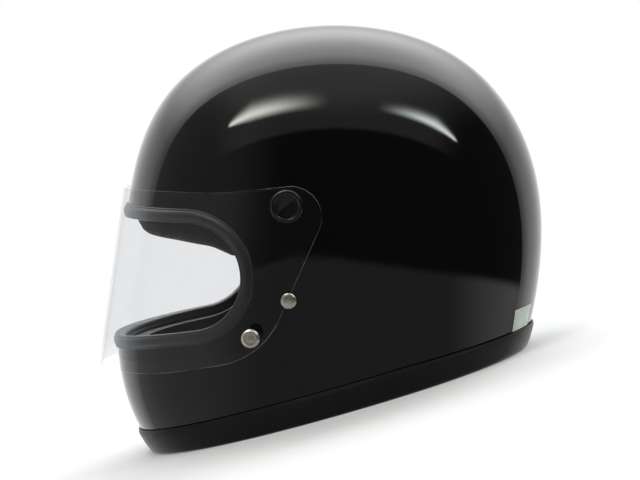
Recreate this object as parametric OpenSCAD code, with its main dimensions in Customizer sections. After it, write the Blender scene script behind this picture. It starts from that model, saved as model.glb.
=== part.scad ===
// Full-face motorcycle helmet with a clear screw-on shield, standing on its rim.
// +Z is up, the face looks to -Y and the wearer's left is +X.
// Every closed surface (shell, foam, lining) is one egg-shaped form inset by a
// different amount, so the layers keep an even gap.

/* [Shell] */
// Length of the shell from chin to nape
shell_length = 345; // [333:1:357]
// Width of the shell at its widest
shell_width = 250; // [244:1:258]
// Height of the crown above the rim
shell_height = 281; // [275:1:288]
// Height of the widest level above the rim
shell_level = 130; // [127:1:133]
// Squareness of the cross-sections, where 2 is an ellipse
fullness = 2.2; // [2.1:0.05:2.3]
// Thickness of the shell's wall
shell_wall = 4; // [3:0.25:4.5]

/* [Eyeport] */
// Angle that the face looks up when the helmet stands on its rim
face_tilt = 16; // [14:0.5:18]
// Radius of the eyeport's rounded ends, to the trim's channel
port_radius = 44; // [42:0.5:46]
// Set of those ends' centre forward of the widest level
port_forward = 92; // [90:0.5:95]
// Drop of those ends' centre below the widest level
port_drop = 30; // [28:0.5:32]
// Slope of the eyeport's lower edge
port_slope = 9.5; // [8:0.5:11]

/* [Rubber trims] */
// How far the eyeport trim laps over the shell on each face
trim_lap = 5; // [4.5:0.25:5.5]
// How far the eyeport trim stands off the shell
trim_rise = 2.8; // [2.4:0.1:3]
// Height of the bottom trim
rim_height = 20.5; // [18:0.5:23]
// How much lower the bottom trim is at the nape
rim_fall = 4.5; // [2:0.5:6]
// How far the bottom trim stands off the shell
rim_rise = 2.8; // [2:0.1:3.2]
// Thickness of rubber under the shell's lower edge
rim_sole = 5; // [4:0.5:6]

/* [Shield] */
// Thickness of the shield's sheet
shield_thickness = 1.5; // [1.2:0.1:1.8]
// Gap between the shell's widest level and the shield's flat sides
shield_side_gap = 1.4; // [1.3:0.1:1.6]
// Gap between the shell's furthest reach and the shield's nose
shield_nose_gap = 3.4; // [3.2:0.1:4.4]
// Lean of the shield's front away from the brow
shield_lean = 8.1; // [7.5:0.1:8.5]

/* [Shield pivots] */
// Set of the pivots forward of the widest level
pivot_forward = 19.6; // [19.2:0.1:20]
// Height of the pivots above the widest level
pivot_up = 22.4; // [22.2:0.1:23]
// Radius of the pivot screw's shank
pivot_shank_r = 5; // [4.5:0.1:5.5]
// Radius of the pivot screw's coin-slotted head
pivot_head_r = 12; // [11:0.25:13]
// Thickness of that head
pivot_head_t = 4.2; // [3.6:0.1:5]

/* [Press studs and rivets] */
// Set of the press studs forward of the widest level
stud_forward = 45.4; // [44:0.2:46.8]
// Drop of the press studs below the widest level
stud_drop = 72; // [70.4:0.2:73.2]
// Radius of the press stud's cap
cap_r = 6.6; // [6:0.1:7.2]
// Set of the strap rivets forward of the widest level
rivet_forward = 18.3; // [17:0.1:20]
// Drop of the strap rivets below the widest level
rivet_drop = 45.4; // [44:0.1:47]
// Radius of the rivet's domed head
rivet_head_r = 5.7; // [5:0.1:6.2]

/* [Padding] */
// Thickness of the impact foam
foam_t = 31; // [29:1:33]
// Thickness of the crown's fabric lining
lining_t = 8; // [6:0.5:9]
// Thickness of the foam in the chin bar
chin_foam_t = 17; // [14:1:19]
// Thickness of the cheek pads
cheek_t = 30; // [27:1:32]
// Thickness of the neck roll
neck_t = 20; // [17:1:22]

/* [Chin strap] */
// Width of the strap's webbing
strap_width = 22; // [20:1:24]
// Thickness of that webbing
strap_t = 1.5; // [1.2:0.1:1.8]
// Radius of the D-rings' wire
ring_wire_r = 1.5; // [1.3:0.1:1.7]

/* [Hidden] */

$fn = 64;
big = 500;              // Size of the cutting blocks
touch = 0.3;            // Gap between layers that rest on each other
slip = 0.15;            // Gap at faces pressed together
turn = 0.06;            // Radial clearance of a turning fit
shell_y = 6;            // Set-back of the widest level, which centres the whole
knots = 12;             // The profile below is set every 30 degrees

// Reach of the profile's control points from the widest level's axis, from the
// rear over the crown, brow and chin to the neck
profile = [173, 173, 155, 150, 154, 140, 144, 204, 228, 217, 193, 171];

foam_out = shell_wall + 0.8;
foam_in = foam_out + foam_t;
lining_out = foam_in + touch;
lining_in = lining_out + lining_t;
port_top = port_radius - port_drop;

// ---------- the egg-shaped form ----------

function knot(i) = profile[((i % knots) + knots) % knots];

// Uniform cubic spline around the profile
function reach(angle) =
    let (t = angle * knots / 360, i = floor(t), u = t - i)
    ((1 - u)^3 * knot(i - 1) + (3*u^3 - 6*u^2 + 4) * knot(i)
     + (-3*u^3 + 3*u^2 + 3*u + 1) * knot(i + 1) + u^3 * knot(i + 2)) / 6;

profile_y = [for (a = [0:2:358]) reach(a) * cos(a)];
profile_z = [for (a = [0:2:358]) reach(a) * sin(a)];
stretch_y = shell_length / (max(profile_y) - min(profile_y));
stretch_z = (shell_height - shell_level) / max(profile_z);

function form_point(around, aside) =
    let (r = (pow(cos(aside) / reach(around), fullness)
              + pow(abs(sin(aside)) / (shell_width / 2), fullness))^(-1 / fullness))
    [r * sin(aside),
     shell_y + stretch_y * r * cos(aside) * cos(around),
     shell_level + stretch_z * r * cos(aside) * sin(around)];

// 1 on the form, less inside it and more outside it
function level(p) =
    let (y = (p.y - shell_y) / stretch_y, z = (p.z - shell_level) / stretch_z)
    pow(norm([y, z]) / reach(atan2(z, y)), fullness)
    + pow(abs(p.x) / (shell_width / 2), fullness);

function unit(v) = v / norm(v);
function outward(p, h = 0.05) =
    unit([level(p + [h, 0, 0]) - level(p - [h, 0, 0]),
          level(p + [0, h, 0]) - level(p - [0, h, 0]),
          level(p + [0, 0, h]) - level(p - [0, 0, h])]);

function inset_point(around, aside, inset) =
    let (p = form_point(around, aside)) p - inset * outward(p);

// Where a ray from inside meets the form
function hit(from, along, near = 5, far = 300, steps = 22) =
    let (mid = (near + far) / 2)
    steps == 0 ? from + mid * along
    : level(from + mid * along) > 1 ? hit(from, along, near, mid, steps - 1)
    : hit(from, along, mid, far, steps - 1);

// Half-width of the form at a place in the side view
function half_width(y, z) = hit([0, y, z], [1, 0, 0], 0, shell_width).x;

// The whole closed form, inset by an even amount
module form(inset, around_n = 40, aside_n = 20) {
    rows = aside_n - 1;
    points = [
        for (j = [1:rows]) for (i = [0:around_n - 1])
            inset_point(360 * i / around_n, -90 + 180 * j / aside_n, inset),
        [-shell_width / 2 + inset, shell_y, shell_level],
        [shell_width / 2 - inset, shell_y, shell_level]];
    low = rows * around_n;
    polyhedron(points, [
        for (j = [0:rows - 2]) for (i = [0:around_n - 1])
            let (a = j * around_n + i, b = j * around_n + (i + 1) % around_n)
            each [[a, a + around_n, b + around_n], [a, b + around_n, b]],
        for (i = [0:around_n - 1]) let (n = (i + 1) % around_n)
            each [[low, i, n],
                  [low + 1, low - around_n + n, low - around_n + i]]]);
}

// A layer between two insets, kept inside its children's shape
module layer(outer, inner) {
    intersection() {
        difference() {
            form(outer);
            form(inner);
        }
        children();
    }
}

// ---------- frames and helpers ----------

// The face's own frame: -Y forward and +Z up as the helmet is worn
module worn() {
    translate([0, shell_y, shell_level]) rotate([-face_tilt, 0, 0]) children();
}

function worn_place(x, forward, up) =
    [x,
     shell_y - forward * cos(face_tilt) + up * sin(face_tilt),
     shell_level + forward * sin(face_tilt) + up * cos(face_tilt)];

// Extrudes a side view, drawn as [forward, up], across the face's frame
module across(width = big) {
    rotate([90, 0, -90]) linear_extrude(width, center = true) children();
}

// Extrudes a side view, drawn as [y, z], across the helmet
module crosswise(width = big) {
    rotate([90, 0, 90]) linear_extrude(width, center = true) children();
}

// Draws its children on the wearer's left (+1) or right (-1)
module on_side(side) {
    if (side > 0) children();
    else mirror([1, 0, 0]) children();
}

// Ring of sections closed on itself
module ring_of(sections) {
    n = len(sections);
    m = len(sections[0]);
    polyhedron([for (s = sections) each s], [
        for (i = [0:n - 1]) for (j = [0:m - 1])
            let (a = i * m + j, b = i * m + (j + 1) % m,
                 c = ((i + 1) % n) * m + (j + 1) % m, d = ((i + 1) % n) * m + j)
            each [[a, c, b], [a, d, c]]]);
}

// A strip of even thickness along a path in its plane
function side_step(path, i) =
    let (a = path[max(i - 1, 0)], b = path[min(i + 1, len(path) - 1)], d = unit(b - a))
    [-d.y, d.x];
function strip(path, t) =
    [for (i = [0:len(path) - 1]) path[i] + side_step(path, i) * t / 2,
     for (i = [len(path) - 1:-1:0]) path[i] - side_step(path, i) * t / 2];

// Outline with each corner, given as [x, y, radius], rounded to its radius
function fillet(a, c, b) =
    let (u = unit([a.x - c.x, a.y - c.y]), v = unit([b.x - c.x, b.y - c.y]),
         half = acos(u * v) / 2, middle = [c.x, c.y] + unit(u + v) * c.z / sin(half),
         from = [c.x, c.y] + u * c.z / tan(half) - middle,
         to = [c.x, c.y] + v * c.z / tan(half) - middle,
         start = atan2(from.y, from.x), raw = atan2(to.y, to.x) - start,
         sweep = raw > 180 ? raw - 360 : raw < -180 ? raw + 360 : raw,
         steps = max(3, ceil(abs(sweep) / 7)))
    c.z == 0 ? [[c.x, c.y]]
    : [for (k = [0:steps]) middle + c.z * [cos(start + sweep * k / steps),
                                           sin(start + sweep * k / steps)]];
function rounded(corners) =
    let (n = len(corners))
    [for (i = [0:n - 1])
        each fillet(corners[(i + n - 1) % n], corners[i], corners[(i + 1) % n])];

// ---------- eyeport ----------

// Tangent point of the lower edge on the rounded end, as [forward, up]
slope_start = [port_forward - port_radius * sin(port_slope),
               -port_drop - port_radius * cos(port_slope)];
port_front = 230;       // Well forward of the chin

// Side view of the opening, grown evenly
module port_outline(grow = 0) {
    r = port_radius + grow;
    polygon([
        [port_front, -port_drop + r],
        for (a = [90:6:270 - port_slope])
            [port_forward + r * cos(a), -port_drop + r * sin(a)],
        [port_forward - r * sin(port_slope), -port_drop - r * cos(port_slope)],
        [port_front, -port_drop - r * cos(port_slope)
         - (port_front - port_forward + r * sin(port_slope)) * tan(port_slope)]]);
}

module port_cut(grow = 0) {
    worn() across() port_outline(grow);
}

arm_steps = 12;
end_steps = 14;
// Rough reach of the eyeport's arms sideways and forward, which spaces the rays
arm_aside = 100;
arm_ahead = 55;

function arm_point(start, slope, angle) =
    let (along = unit([arm_aside * sin(angle),
                       -arm_ahead * cos(angle) * cos(face_tilt + slope),
                       arm_ahead * cos(angle) * sin(face_tilt + slope)]))
    hit(worn_place(0, start.x, start.y), along);

// Left half of the opening's edge, from the brow's middle to the chin's
port_half = [
    for (k = [0:arm_steps])
        arm_point([port_forward, port_top], 0, 90 * k / arm_steps),
    for (k = [1:end_steps - 1])
        let (a = 90 + (180 - port_slope) * k / end_steps,
             p = worn_place(0, port_forward + port_radius * cos(a),
                            -port_drop + port_radius * sin(a)))
        [half_width(p.y, p.z), p.y, p.z],
    for (k = [arm_steps:-1:0])
        arm_point(slope_start, -port_slope, 90 * k / arm_steps)];
port_edge = [each port_half,
             for (i = [len(port_half) - 2:-1:1])
                 [-port_half[i].x, port_half[i].y, port_half[i].z]];

// Channel section of the eyeport trim, as [away from the opening, outward]
slot_in = shell_wall + 0.6;
inner_lap = 2.4;        // The channel's inner leg is shorter than the outer one
port_section = [
    [trim_lap, touch], [trim_lap - 0.4, 0.5 * trim_rise],
    [trim_lap - 2, 0.85 * trim_rise], [0.5, trim_rise],
    [-trim_lap + 3, 0.9 * trim_rise], [-trim_lap + 0.8, 0.4 * trim_rise],
    [-trim_lap, -1.2], [-trim_lap + 0.3, -slot_in + 0.8],
    [-trim_lap + 2, -slot_in - 1.2], [-1, -slot_in - 1.8],
    [inner_lap - 0.5, -slot_in - 1.8], [inner_lap, -slot_in - 0.9], [inner_lap - 0.2, -slot_in],
    [0, -slot_in], [0, touch]];

module eyeport_trim() {
    n = len(port_edge);
    color([0.16, 0.16, 0.16])
    ring_of([
        for (i = [0:n - 1])
            let (p = port_edge[i], out = outward(p),
                 t = unit(port_edge[(i + 1) % n] - port_edge[(i + n - 1) % n]),
                 away = unit(cross(out, t)))
            [for (s = port_section) p + s.x * away + s.y * out]]);
}

// ---------- shell ----------

edge_play = 1.2;        // How far the shell's cut edges stop short in the trims

module shell_bores() {
    for (side = [-1, 1]) on_side(side) {
        at_pivot() cylinder(h = 20, r = nut_barrel_r + 0.15, center = true);
        at_rivet() cylinder(h = 20, r = rivet_r + 0.1, center = true);
        at_stud() translate([0, 0, -stud_post]) cylinder(h = 20, r = 2.2, center = true);
    }
}

module outer_shell() {
    color([0.03, 0.03, 0.03])
    difference() {
        form(0, 72, 32);
        form(shell_wall, 72, 32);
        port_cut(edge_play);
        translate([0, 0, rim_sole + 0.5 - big / 2]) cube(big, center = true);
        shell_bores();
    }
}

// ---------- bottom trim ----------

rim_steps = 72;
rim_wall = 3;           // Rubber inside the shell
rim_play = 1.2;         // Slack between the shell's inner face and the trim's channel

// Height of the trim's top edge, which falls from the sides to the nape
function rim_top(y) = rim_height - rim_fall * max(0, y - 40) / (shell_length / 2 - 34);

// Point on the form at a height, with a horizontal offset
function rim_place(angle, s) =
    let (along = unit([100 * sin(angle), 150 * cos(angle), 0]),
         top = rim_top(hit([0, shell_y, rim_height / 2], along).y),
         share = s.y <= rim_sole ? 0 : (s.y - rim_sole) / (rim_height - rim_sole),
         z = s.y - share * (rim_height - top),
         p = hit([0, shell_y, z], along), out = outward(p), flat = unit([out.x, out.y, 0]),
         wall = s.z / norm([out.x, out.y]))
    p + flat * (s.x - wall);

// Section as [horizontal offset, height, share of the shell's wall inside it]
rim_section = [
    [touch, rim_height, 0], [rim_rise - 0.9, rim_height - 0.2, 0],
    [rim_rise, rim_height - 1.6, 0], [rim_rise + 0.2, rim_height / 2, 0],
    [rim_rise, 2, 0], [rim_rise - 1.2, 0.4, 0], [rim_rise - 2.2, 0, 0],
    [-rim_wall + 0.8, 0, shell_wall], [-rim_wall, 0.8, shell_wall],
    [-rim_wall - 0.3, rim_height - 3, shell_wall],
    [-rim_play, rim_height - 2, shell_wall], [-rim_play, rim_sole, shell_wall],
    [touch, rim_sole, 0]];

module bottom_trim() {
    color([0.13, 0.13, 0.13])
    ring_of([
        for (i = [0:rim_steps - 1])
            [for (s = rim_section) rim_place(-360 * i / rim_steps, s)]]);
}

// ---------- foam and padding ----------

// Height of the foam's lower edge at the widest level, and its fall to the rear
foam_edge_z = 92;
foam_edge_fall = 0.27;
function foam_edge(y) = foam_edge_z - foam_edge_fall * (y - shell_y);
pad_floor = 24;         // Lowest padding, above the bottom trim's inner lip
chin_foam_rear = 76;    // How far forward of the origin the chin bar's foam ends
cheek_rear = 12;
cheek_floor = 44;

// Side view of all that lies above (or below) the foam's lower edge
module above_edge(lift = 0) {
    crosswise() polygon([
        [-big, foam_edge(-big) + lift], [big, foam_edge(big) + lift],
        [big, 2 * big], [-big, 2 * big]]);
}
module below_edge(y0, y1, floor_z) {
    crosswise() polygon([
        [y0, floor_z], [y1, floor_z],
        [y1, foam_edge(y1) - touch], [y0, foam_edge(y0) - touch]]);
}

module impact_liner() {
    color([0.2, 0.2, 0.21])
    difference() {
        layer(foam_out, foam_in) above_edge();
        port_cut(7);
        for (side = [-1, 1]) on_side(side)
            {
                at_pivot() translate([0, 0, -12]) cylinder(h = 20, r = 11, center = true);
                at_rivet() translate([0, 0, -12]) cylinder(h = 20, r = 18, center = true);
            }
    }
}

module crown_lining() {
    color([0.12, 0.12, 0.13])
    difference() {
        layer(lining_out, lining_in) above_edge(5);
        port_cut(9);
    }
}

module chin_bar_liner() {
    color([0.14, 0.14, 0.15])
    difference() {
        layer(foam_out, foam_out + chin_foam_t)
            crosswise() polygon([
                [-big, pad_floor], [-chin_foam_rear, pad_floor],
                [-chin_foam_rear, shell_level], [-big, shell_level]]);
        port_cut(inner_lap + 0.8);
    }
}

module brow_pad() {
    pad_bottom = -3.5;
    pad_rear = port_forward - 36;
    pad_step = port_forward - 14;
    color([0.1, 0.1, 0.1])
    layer(shell_wall + 3, lining_in)
        worn() across() intersection() {
            port_outline(7 - touch);
            polygon([
                [pad_rear, pad_bottom - 11.5], [pad_step, pad_bottom - 5],
                [pad_step + 22, pad_bottom - 1],
                [port_front, pad_bottom], [port_front, 2 * port_radius],
                [pad_rear, 2 * port_radius]]);
        }
}

module cheek_pad(side) {
    strap_space = 17;   // Room for the strap between the pad and the shell
    color([0.12, 0.12, 0.13])
    on_side(side)
    difference() {
        layer(strap_space, strap_space + cheek_t)
            intersection() {
                below_edge(touch - chin_foam_rear + 0.1, cheek_rear, cheek_floor);
                translate([big / 2 + 40, 0, 0]) cube(big, center = true);
            }
        port_cut(7);
    }
}

module neck_roll() {
    color([0.12, 0.12, 0.13])
    layer(foam_out + touch, foam_out + neck_t) below_edge(26, shell_length / 2 + 28, pad_floor);
}

// ---------- shield ----------

sheet_sides = 24;       // The sheet's sides run straight behind this
sheet_fullness = 2.2;
sheet_in = shell_width / 2 + shield_side_gap;

// The form's reach square to the shield's front line, at an angle above the
// face's forward line
function lean_reach(angle) =
    let (from = worn_place(0, 0, 0),
         along = unit([0, -cos(face_tilt + angle), sin(face_tilt + angle)]))
    norm(hit(from, along) - from) * cos(angle - shield_lean);
shield_nose = max([for (a = [-30:5:15]) lean_reach(a)]) + shield_nose_gap;

// Half-width of the sheet at a distance forward, square to its front line
function sheet_x(c, grow) =
    let (w = sheet_in + grow, l = shield_nose + grow - sheet_sides)
    c <= sheet_sides ? w
    : w * max(0, 1 - ((c - sheet_sides) / l)^sheet_fullness)^(1 / sheet_fullness);

// Plan of the bent sheet's face: straight sides run into a round nose
function sheet_face(grow) =
    let (n = 30, l = shield_nose + grow - sheet_sides, w = sheet_in + grow,
         half = [for (k = [0:n]) let (a = 90 * k / n)
                 [w * cos(a)^(2 / sheet_fullness), sheet_sides + l * sin(a)^(2 / sheet_fullness)]])
    [[w, -40], each half, for (i = [n - 1:-1:0]) [-half[i].x, half[i].y], [-w, -40]];

module sheet_solid(grow) {
    worn() rotate([-shield_lean, 0, 0]) mirror([0, 1, 0])
        linear_extrude(400, center = true) polygon(sheet_face(grow));
}

// Side view of the shield's edge, as [forward, up, corner radius]
shield_corners = [
    [190, 31.5, 0], [66, 31.5, 120], [-19, 40.5, 22],
    [37.3, -86, 57], [116, -100.6, 180], [190, -103, 0]];

module shield() {
    color([0.85, 0.88, 0.9, 0.35])
    difference() {
        intersection() {
            difference() {
                sheet_solid(shield_thickness);
                sheet_solid(0);
            }
            worn() across() polygon(rounded(shield_corners));
        }
        for (side = [-1, 1]) on_side(side) {
            at_pivot() cylinder(h = 30, r = pivot_shank_r + turn, center = true);
            at_stud() cylinder(h = 20, r = eyelet_r + turn, center = true);
        }
    }
}

// ---------- shield pivots ----------

nut_barrel_r = pivot_shank_r + 2;
nut_face = half_width(worn_place(0, pivot_forward, pivot_up).y,
                      worn_place(0, pivot_forward, pivot_up).z) - shell_wall - 1.8;
washer_t = 0.8;

// Z runs outward along the pivot's axis, and starts at the sheet's inner face
module at_pivot() {
    translate(worn_place(sheet_in, pivot_forward, pivot_up))
        rotate([0, 90, 0]) children();
}

module pivot_screw(side) {
    head_z = shield_thickness + touch + washer_t + slip;
    slot = [1.8, 2 * pivot_head_r - 6, 1.6];
    color([0.06, 0.06, 0.06])
    on_side(side) at_pivot()
    difference() {
        union() {
            translate([0, 0, nut_face - sheet_in - 3])
                cylinder(h = head_z + sheet_in - nut_face + 3.5, r = pivot_shank_r);
            translate([0, 0, head_z]) rotate_extrude() polygon([
                [0, 0], [pivot_head_r, 0], [pivot_head_r, pivot_head_t - 1.2],
                [pivot_head_r - 1.2, pivot_head_t], [pivot_head_r - 2.6, pivot_head_t],
                [pivot_head_r - 3.4, pivot_head_t - 0.7], [0, pivot_head_t - 0.7]]);
        }
        translate([0, 0, head_z + pivot_head_t - 0.7])
            rotate([0, 0, 45 - face_tilt]) cube([slot.x, slot.y, 2 * slot.z], center = true);
    }
}

module pivot_washer(side) {
    color([0.1, 0.1, 0.1])
    on_side(side) at_pivot() translate([0, 0, shield_thickness + touch])
    difference() {
        cylinder(h = washer_t, r = pivot_head_r - 1);
        translate([0, 0, -1]) cylinder(h = washer_t + 2, r = pivot_shank_r + turn);
    }
}

// Rubber pad that fills the gap from the curved shell to the flat sheet
module pivot_spacer(side) {
    color([0.08, 0.08, 0.08])
    on_side(side)
    difference() {
        at_pivot() translate([0, 0, -8.6]) cylinder(h = 8, r = pivot_head_r - 1);
        at_pivot() cylinder(h = 30, r = nut_barrel_r + 0.15, center = true);
        form(-slip, 72, 32);
    }
}

// Flanged nut pushed through the shell from inside
module pivot_nut(side) {
    flange_t = 1.8;
    color([0.72, 0.7, 0.62])
    on_side(side) at_pivot() translate([0, 0, nut_face - sheet_in])
    difference() {
        union() {
            translate([0, 0, -flange_t]) cylinder(h = flange_t, r = nut_barrel_r + 3);
            cylinder(h = sheet_in - nut_face - 0.6, r = nut_barrel_r);
        }
        translate([0, 0, -5]) cylinder(h = 20, r = pivot_shank_r + turn);
    }
}

// ---------- press studs ----------

eyelet_r = 2.4;
stud_post = 8.5;        // Height of the stud's post below the sheet
cap_t = 2.6;
socket_depth = 3;
// Place of the studs on the sheet, and the sheet's slope there
stud_c = stud_forward * cos(shield_lean) - stud_drop * sin(shield_lean);
stud_x = sheet_x(stud_c, 0);
stud_slope = atan2(sheet_x(stud_c - 2, 0) - sheet_x(stud_c + 2, 0), 4);

// Z runs outward, square to the sheet, and starts at its inner face
module at_stud() {
    worn() translate([stud_x, -stud_forward, -stud_drop])
        rotate([-shield_lean, 0, 0]) rotate([0, 0, -stud_slope]) rotate([0, 90, 0])
            children();
}

module snap_cap(side) {
    base = shield_thickness + 0.2;
    color([0.72, 0.7, 0.62])
    on_side(side) at_stud() rotate_extrude() polygon([
        [0, -1.3], [3.6, -1.3], [3.6, -0.3 - socket_depth],
        [cap_r - 0.6, -0.3 - socket_depth], [cap_r - 0.6, -0.3], [eyelet_r, -0.3],
        [eyelet_r, base], [cap_r, base], [cap_r, base + cap_t - 1],
        [cap_r - 0.8, base + cap_t - 0.2], [cap_r - 2, base + cap_t], [0, base + cap_t]]);
}

module snap_stud(side) {
    head_top = -socket_depth - 0.3 - touch;
    color([0.72, 0.7, 0.62])
    on_side(side) {
        difference() {
            at_stud() translate([0, 0, -14]) cylinder(h = 14 - stud_post + 2.2, r = cap_r - 0.6);
            form(-slip, 72, 32);
        }
        at_stud() {
            translate([0, 0, -16]) cylinder(h = 16 + head_top - 0.8, r = 2.1);
            translate([0, 0, head_top - 2.6]) rotate_extrude() polygon([
                [0, 0], [2.4, 0], [3.3, 0.9], [3.3, 1.6], [2.2, 2.6], [0, 2.6]]);
            translate([0, 0, -17]) cylinder(h = 1.4, r = 4.5);
        }
    }
}

// ---------- strap anchors ----------

rivet_r = 2.4;
rivet_at = worn_place(0, rivet_forward, -rivet_drop);
rivet_x = half_width(rivet_at.y, rivet_at.z);
rivet_in = rivet_x - shell_wall - 0.9;  // Flat seat on the shell's inner face
anchor_t = 1.2;
washer_in_t = 1.8;

// Z runs outward along the rivet, and starts at the shell's outer face
module at_rivet() {
    translate([rivet_x, rivet_at.y, rivet_at.z]) rotate([0, 90, 0]) children();
}

module strap_rivet(side) {
    depth = rivet_x - rivet_in;
    color([0.72, 0.7, 0.62])
    on_side(side) {
        difference() {
            at_rivet() translate([0, 0, -1.5]) rotate_extrude() polygon([
                [0, 0], [rivet_head_r, 0], [rivet_head_r, 2.2],
                for (a = [0:15:90]) [rivet_head_r * cos(a), 2.2 + 1.6 * sin(a)]]);
            form(-slip, 72, 32);
        }
        at_rivet() {
            translate([0, 0, -depth - washer_in_t - anchor_t - 1.4])
                cylinder(h = depth + washer_in_t + anchor_t + 2, r = rivet_r);
            translate([0, 0, -depth - washer_in_t]) cylinder(h = washer_in_t, r = 6);
            translate([0, 0, -depth - washer_in_t - anchor_t - 2 * touch - 1.2])
                cylinder(h = 1.2, r = 4.2);
        }
    }
}

// Strap frame: X outward and Y up in the strap's plane, through both rivets
module strap_plane(width) {
    translate([0, rivet_at.y, 0]) rotate([90, 0, 0])
        linear_extrude(width, center = true) children();
}

plate_x = rivet_in - washer_in_t - touch - anchor_t / 2;
plate_in = plate_x - 6.8;               // The plate's lower end is joggled inward
bar_z = rivet_at.z - 33;                // Bar that the webbing loops round
module strap_anchor(side) {
    plate_w = strap_width + 5;
    color([0.6, 0.6, 0.58])
    on_side(side) difference() {
        strap_plane(plate_w) polygon(strip([
            [plate_x, rivet_at.z + 9], [plate_x, rivet_at.z - 11],
            [plate_in, rivet_at.z - 21], [plate_in, bar_z - 2.5]], anchor_t));
        translate([0, rivet_at.y, rivet_at.z]) rotate([0, 90, 0])
            cylinder(h = big, r = rivet_r + turn);
        translate([plate_in, rivet_at.y, bar_z + 4.5])
            cube([10, strap_width + 1, 4], center = true);
        // Rounded shoulders above the rivet
        for (y = [-1, 1])
            translate([plate_x, rivet_at.y + y * (plate_w / 2 + 3), rivet_at.z + 9])
                rotate([45, 0, 0]) cube([10, 17, 17], center = true);
    }
}

strap_low = 7;          // Height of the strap's lowest run
strap_bow = 2.8;        // Squareness of the strap's hanging curve
lap = strap_t / 2 + touch;              // From a metal face to the webbing's middle
strap_half = plate_in - anchor_t / 2 - lap;
bar_out = plate_in + anchor_t / 2 + lap;

// The strap's hanging curve, from the anchor towards the middle
function strap_curve(to, n) =
    [for (k = [0:n]) let (a = 4 + (to - 4) * k / n)
        [strap_half * cos(a)^(2 / strap_bow),
         bar_z - 3 - (bar_z - 3 - strap_low) * sin(a)^(2 / strap_bow)]];

// Webbing's path round a ring's wire
function bend(middle, from, to) =
    [for (k = [0:4]) let (a = from + (to - from) * k / 4)
        middle + ring_lap * [cos(a), sin(a)]];

// Seam that holds the turned-back end
module stitch() {
    translate([strap_half - 0.4, bar_z - 15]) square([1.4, 4]);
}

// Turn of webbing over the anchor's bar, stitched back to the strap
bar_loop = [[strap_half + 1, bar_z - 16], [bar_out - 0.6, bar_z - 9],
            [bar_out, bar_z - 4],
            for (a = [0:30:180]) [plate_in, bar_z + 2.4]
                + (anchor_t / 2 + lap) * [cos(a), sin(a)]];

ring_bar_x = -39;       // The D-rings' straight bars
ring_leg = 9;           // Straight part of their sides
ring_low = 12.5;
ring_high = 18.5;
ring_half = strap_width / 2 + ring_wire_r + 0.6;
ring_lap = ring_wire_r + lap;
ring_tip_x = ring_bar_x + ring_leg + ring_half;

// Comes up through both rings, back over the upper one and down through the lower
module chin_strap_long() {
    up_x = ring_bar_x + ring_wire_r + strap_t + 3 * touch + strap_t / 2 + 0.2;
    down_x = up_x + strap_t + 3 * touch;
    color([0.09, 0.09, 0.09])
    strap_plane(strap_width) polygon(strip([
        each bar_loop, each strap_curve(78, 20),
        [ring_tip_x + 4, strap_low], [up_x + 2.4, strap_low], [up_x + 0.6, strap_low + 0.8],
        [up_x, strap_low + 2.6], [up_x, ring_high + ring_lap - 1.8],
        [up_x + 0.6, ring_high + ring_lap - 0.5], [up_x + 2, ring_high + ring_lap],
        each bend([ring_tip_x, ring_high], 90, -60), [ring_tip_x - 0.6, ring_high - 3],
        [down_x + 1.6, ring_high - 3], [down_x + 0.4, ring_high - 3.8],
        [down_x, ring_low + 0.8], [down_x, ring_low - 1], [down_x + 0.8, ring_low - 2.8],
        [down_x + 2.4, ring_low - ring_lap - 0.6], [ring_tip_x + 6, ring_low - ring_lap - 0.6],
        [ring_tip_x + 36, ring_low - ring_lap + 0.3],
        [ring_tip_x + 60, ring_low - ring_lap + 1.6]], strap_t));
    strap_plane(strap_width) stitch();
}

module chin_strap_short() {
    bar = ring_bar_x;
    color([0.09, 0.09, 0.09])
    mirror([1, 0, 0]) {
        strap_plane(strap_width) polygon(strip([
            each bar_loop, each strap_curve(60, 16), [7 - bar, ring_low - ring_lap],
            each bend([-bar, ring_low], 270, 180), each bend([-bar, ring_high], 180, 90),
            [4 - bar, ring_high + ring_lap - 0.6], [13 - bar, ring_low + 3.5],
            [20 - bar, ring_low + 2]], strap_t));
        strap_plane(strap_width) stitch();
    }
}

// Two D-shaped rings: a straight bar closed by a round bow
module d_rings($fn = 32) {
    color([0.75, 0.75, 0.72])
    for (z = [ring_low, ring_high])
        translate([ring_bar_x, rivet_at.y, z]) {
            rotate([90, 0, 0]) cylinder(h = 2 * ring_half, r = ring_wire_r, center = true);
            for (y = [-1, 1]) translate([0, y * ring_half, 0]) {
                sphere(r = ring_wire_r);
                rotate([0, 90, 0]) cylinder(h = ring_leg, r = ring_wire_r);
            }
            translate([ring_leg, 0, 0]) rotate([0, 0, -90]) rotate_extrude(angle = 180)
                translate([ring_half, 0]) circle(r = ring_wire_r);
        }
}

// ---------- label ----------

label_w = 25;
label_h = 15;
label_t = 0.25;
label_turn = 21;        // Bearing of the label's middle, from the rear to the left

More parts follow.
